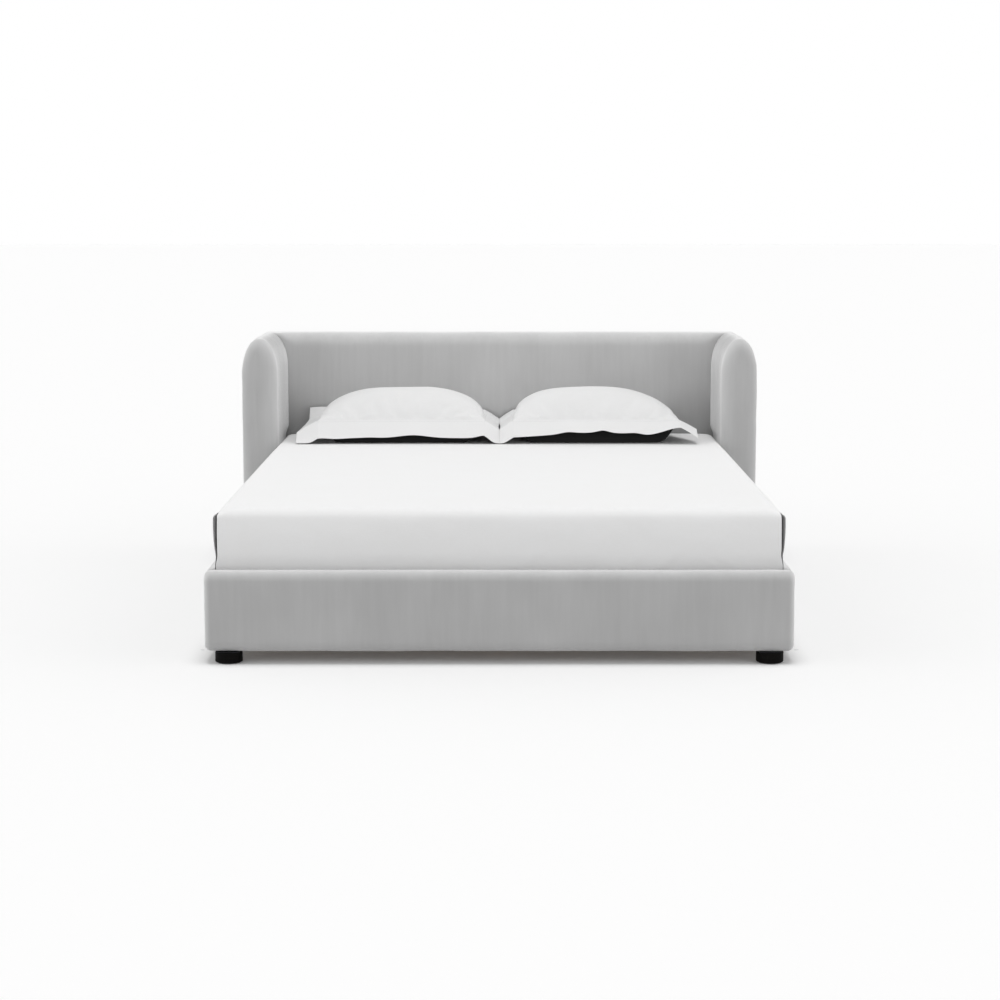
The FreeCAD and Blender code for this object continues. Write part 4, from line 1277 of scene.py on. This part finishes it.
FEET = [f"{end}_{side}_foot" for end in ("front", "rear") for side in SIDES]
BOTH = {
    kind: [f"{side}_{kind}" for side in SIDES]
    for kind in (
        "rail_ledger", "wing_ledger", "wing_timbers", "headboard_post", "rail_board",
        "wing_inner_board", "wing_outer_board",
    )
}
RAILS_ACROSS = ["headboard_bottom_rail", "headboard_middle_rail", "headboard_top_rail"]
GROUPS = (
    (LACQUER, FEET),
    (FELT, ["foot_pads"]),
    (DARK_STEEL, ["foot_plates"]),
    (PLASTIC, ["centre_leg_glides"]),
    (WEBBING, ["slat_straps"]),
    (PINE["X"], ["slats", "front_rail_board"] + RAILS_ACROSS),
    (PINE["Y"], ["centre_rail"] + BOTH["rail_ledger"] + BOTH["wing_ledger"] + BOTH["rail_board"]),
    (PINE["Z"], ["centre_legs"] + BOTH["wing_timbers"] + BOTH["headboard_post"]),
    (PLYWOOD, ["headboard_front_board"] + BOTH["wing_inner_board"] + BOTH["wing_outer_board"]),
)
FINISHES = {node: finish for finish, nodes in GROUPS for node in nodes}
for node, part in NODES.items():
    if part.hide_render:
        continue
    part.data.materials.clear()
    part.data.materials.append(FINISHES.get(node, STEEL))

# ---------------------------------------------------------------- floor, light and camera

FLOOR_SIZE = 60.0
HORIZON_LIGHT = 0.91
SIDE_LIGHT = 0.50
floor = piece_from(
    "studio_floor",
    [(x * FLOOR_SIZE, y * FLOOR_SIZE, 0.0) for x, y in ((-1, -1), (1, -1), (1, 1), (-1, 1))],
    [(0, 1, 2, 3)],
)
paper = Finish("studio_paper", 0.9, Emission_Strength=0.05)
paper.shader.inputs["Emission Color"].default_value = (1.0, 1.0, 1.0, 1.0)
paper.shader.inputs["Specular IOR Level"].default_value = 0.1
seen_directly = paper.node("ShaderNodeLightPath").outputs["Is Camera Ray"]
paper.colour(seen_directly, [(0.0, grey(0.52)), (1.0, grey(0.95))])
floor.data.materials.append(paper.material)

scene = bpy.context.scene
scene.view_settings.view_transform = "Standard"
scene.view_settings.look = "None"
world = bpy.data.worlds.new("studio")
scene.world = world
world.use_nodes = True
sky = world.node_tree
background = sky.nodes["Background"]
background.inputs["Color"].default_value = (1.0, 1.0, 1.0, 1.0)
sky_way = sky.nodes.new("ShaderNodeSeparateXYZ")
sky.links.new(sky.nodes.new("ShaderNodeTexCoord").outputs["Object"], sky_way.inputs["Vector"])


def sky_sum(operation, *values):
    """A sum on the sky's direction, from sockets and numbers."""
    made = sky.nodes.new("ShaderNodeMath")
    made.operation = operation
    for socket, value in zip(made.inputs, values):
        if isinstance(value, (int, float)):
            socket.default_value = value
        else:
            sky.links.new(value, socket)
    return made.outputs["Value"]


steep = sky_sum("MULTIPLY", sky_way.outputs["Z"], sky_way.outputs["Z"])
sideways = sky_sum("MULTIPLY", sky_way.outputs["X"], sky_way.outputs["X"])
horizon = sky_sum("MULTIPLY_ADD", steep, -HORIZON_LIGHT, HORIZON_LIGHT)
sky.links.new(sky_sum("MULTIPLY_ADD", sideways, SIDE_LIGHT, horizon), background.inputs["Strength"])
backdrop = sky.nodes.new("ShaderNodeBackground")
backdrop.inputs["Color"].default_value = (1.0, 1.0, 1.0, 1.0)
backdrop.inputs["Strength"].default_value = 1.0
path = sky.nodes.new("ShaderNodeLightPath")
chosen = sky.nodes.new("ShaderNodeMixShader")
sky.links.new(path.outputs["Is Camera Ray"], chosen.inputs["Fac"])
sky.links.new(background.outputs["Background"], chosen.inputs[1])
sky.links.new(backdrop.outputs["Background"], chosen.inputs[2])
sky.links.new(chosen.outputs["Shader"], sky.nodes["World Output"].inputs["Surface"])


def soft_sun(name, lean, turn, spread, strength):
    """Even light from far above, lean degrees from the vertical."""
    data = bpy.data.lights.new(name, "SUN")
    data.energy = strength
    data.angle = math.radians(spread)
    lamp = bpy.data.objects.new(name, data)
    lamp.rotation_euler = (math.radians(-lean), 0.0, math.radians(turn))
    scene.collection.objects.link(lamp)
    return lamp


soft_sun("overhead_light", -2.0, 0.0, 30.0, 1.27)

CAMERA_PLACE = (0.0018, -7.1585, 1.229)
CAMERA_LOOKS_DOWN = 7.38
CAMERA_LENS = 82.84
camera_data = bpy.data.cameras.new("camera")
camera_data.lens = CAMERA_LENS
camera_data.sensor_width = 36.0
camera_data.clip_end = 400.0
camera = bpy.data.objects.new("camera", camera_data)
camera.location = CAMERA_PLACE
camera.rotation_euler = (math.radians(90 - CAMERA_LOOKS_DOWN), 0.0, 0.0)
scene.collection.objects.link(camera)
scene.camera = camera
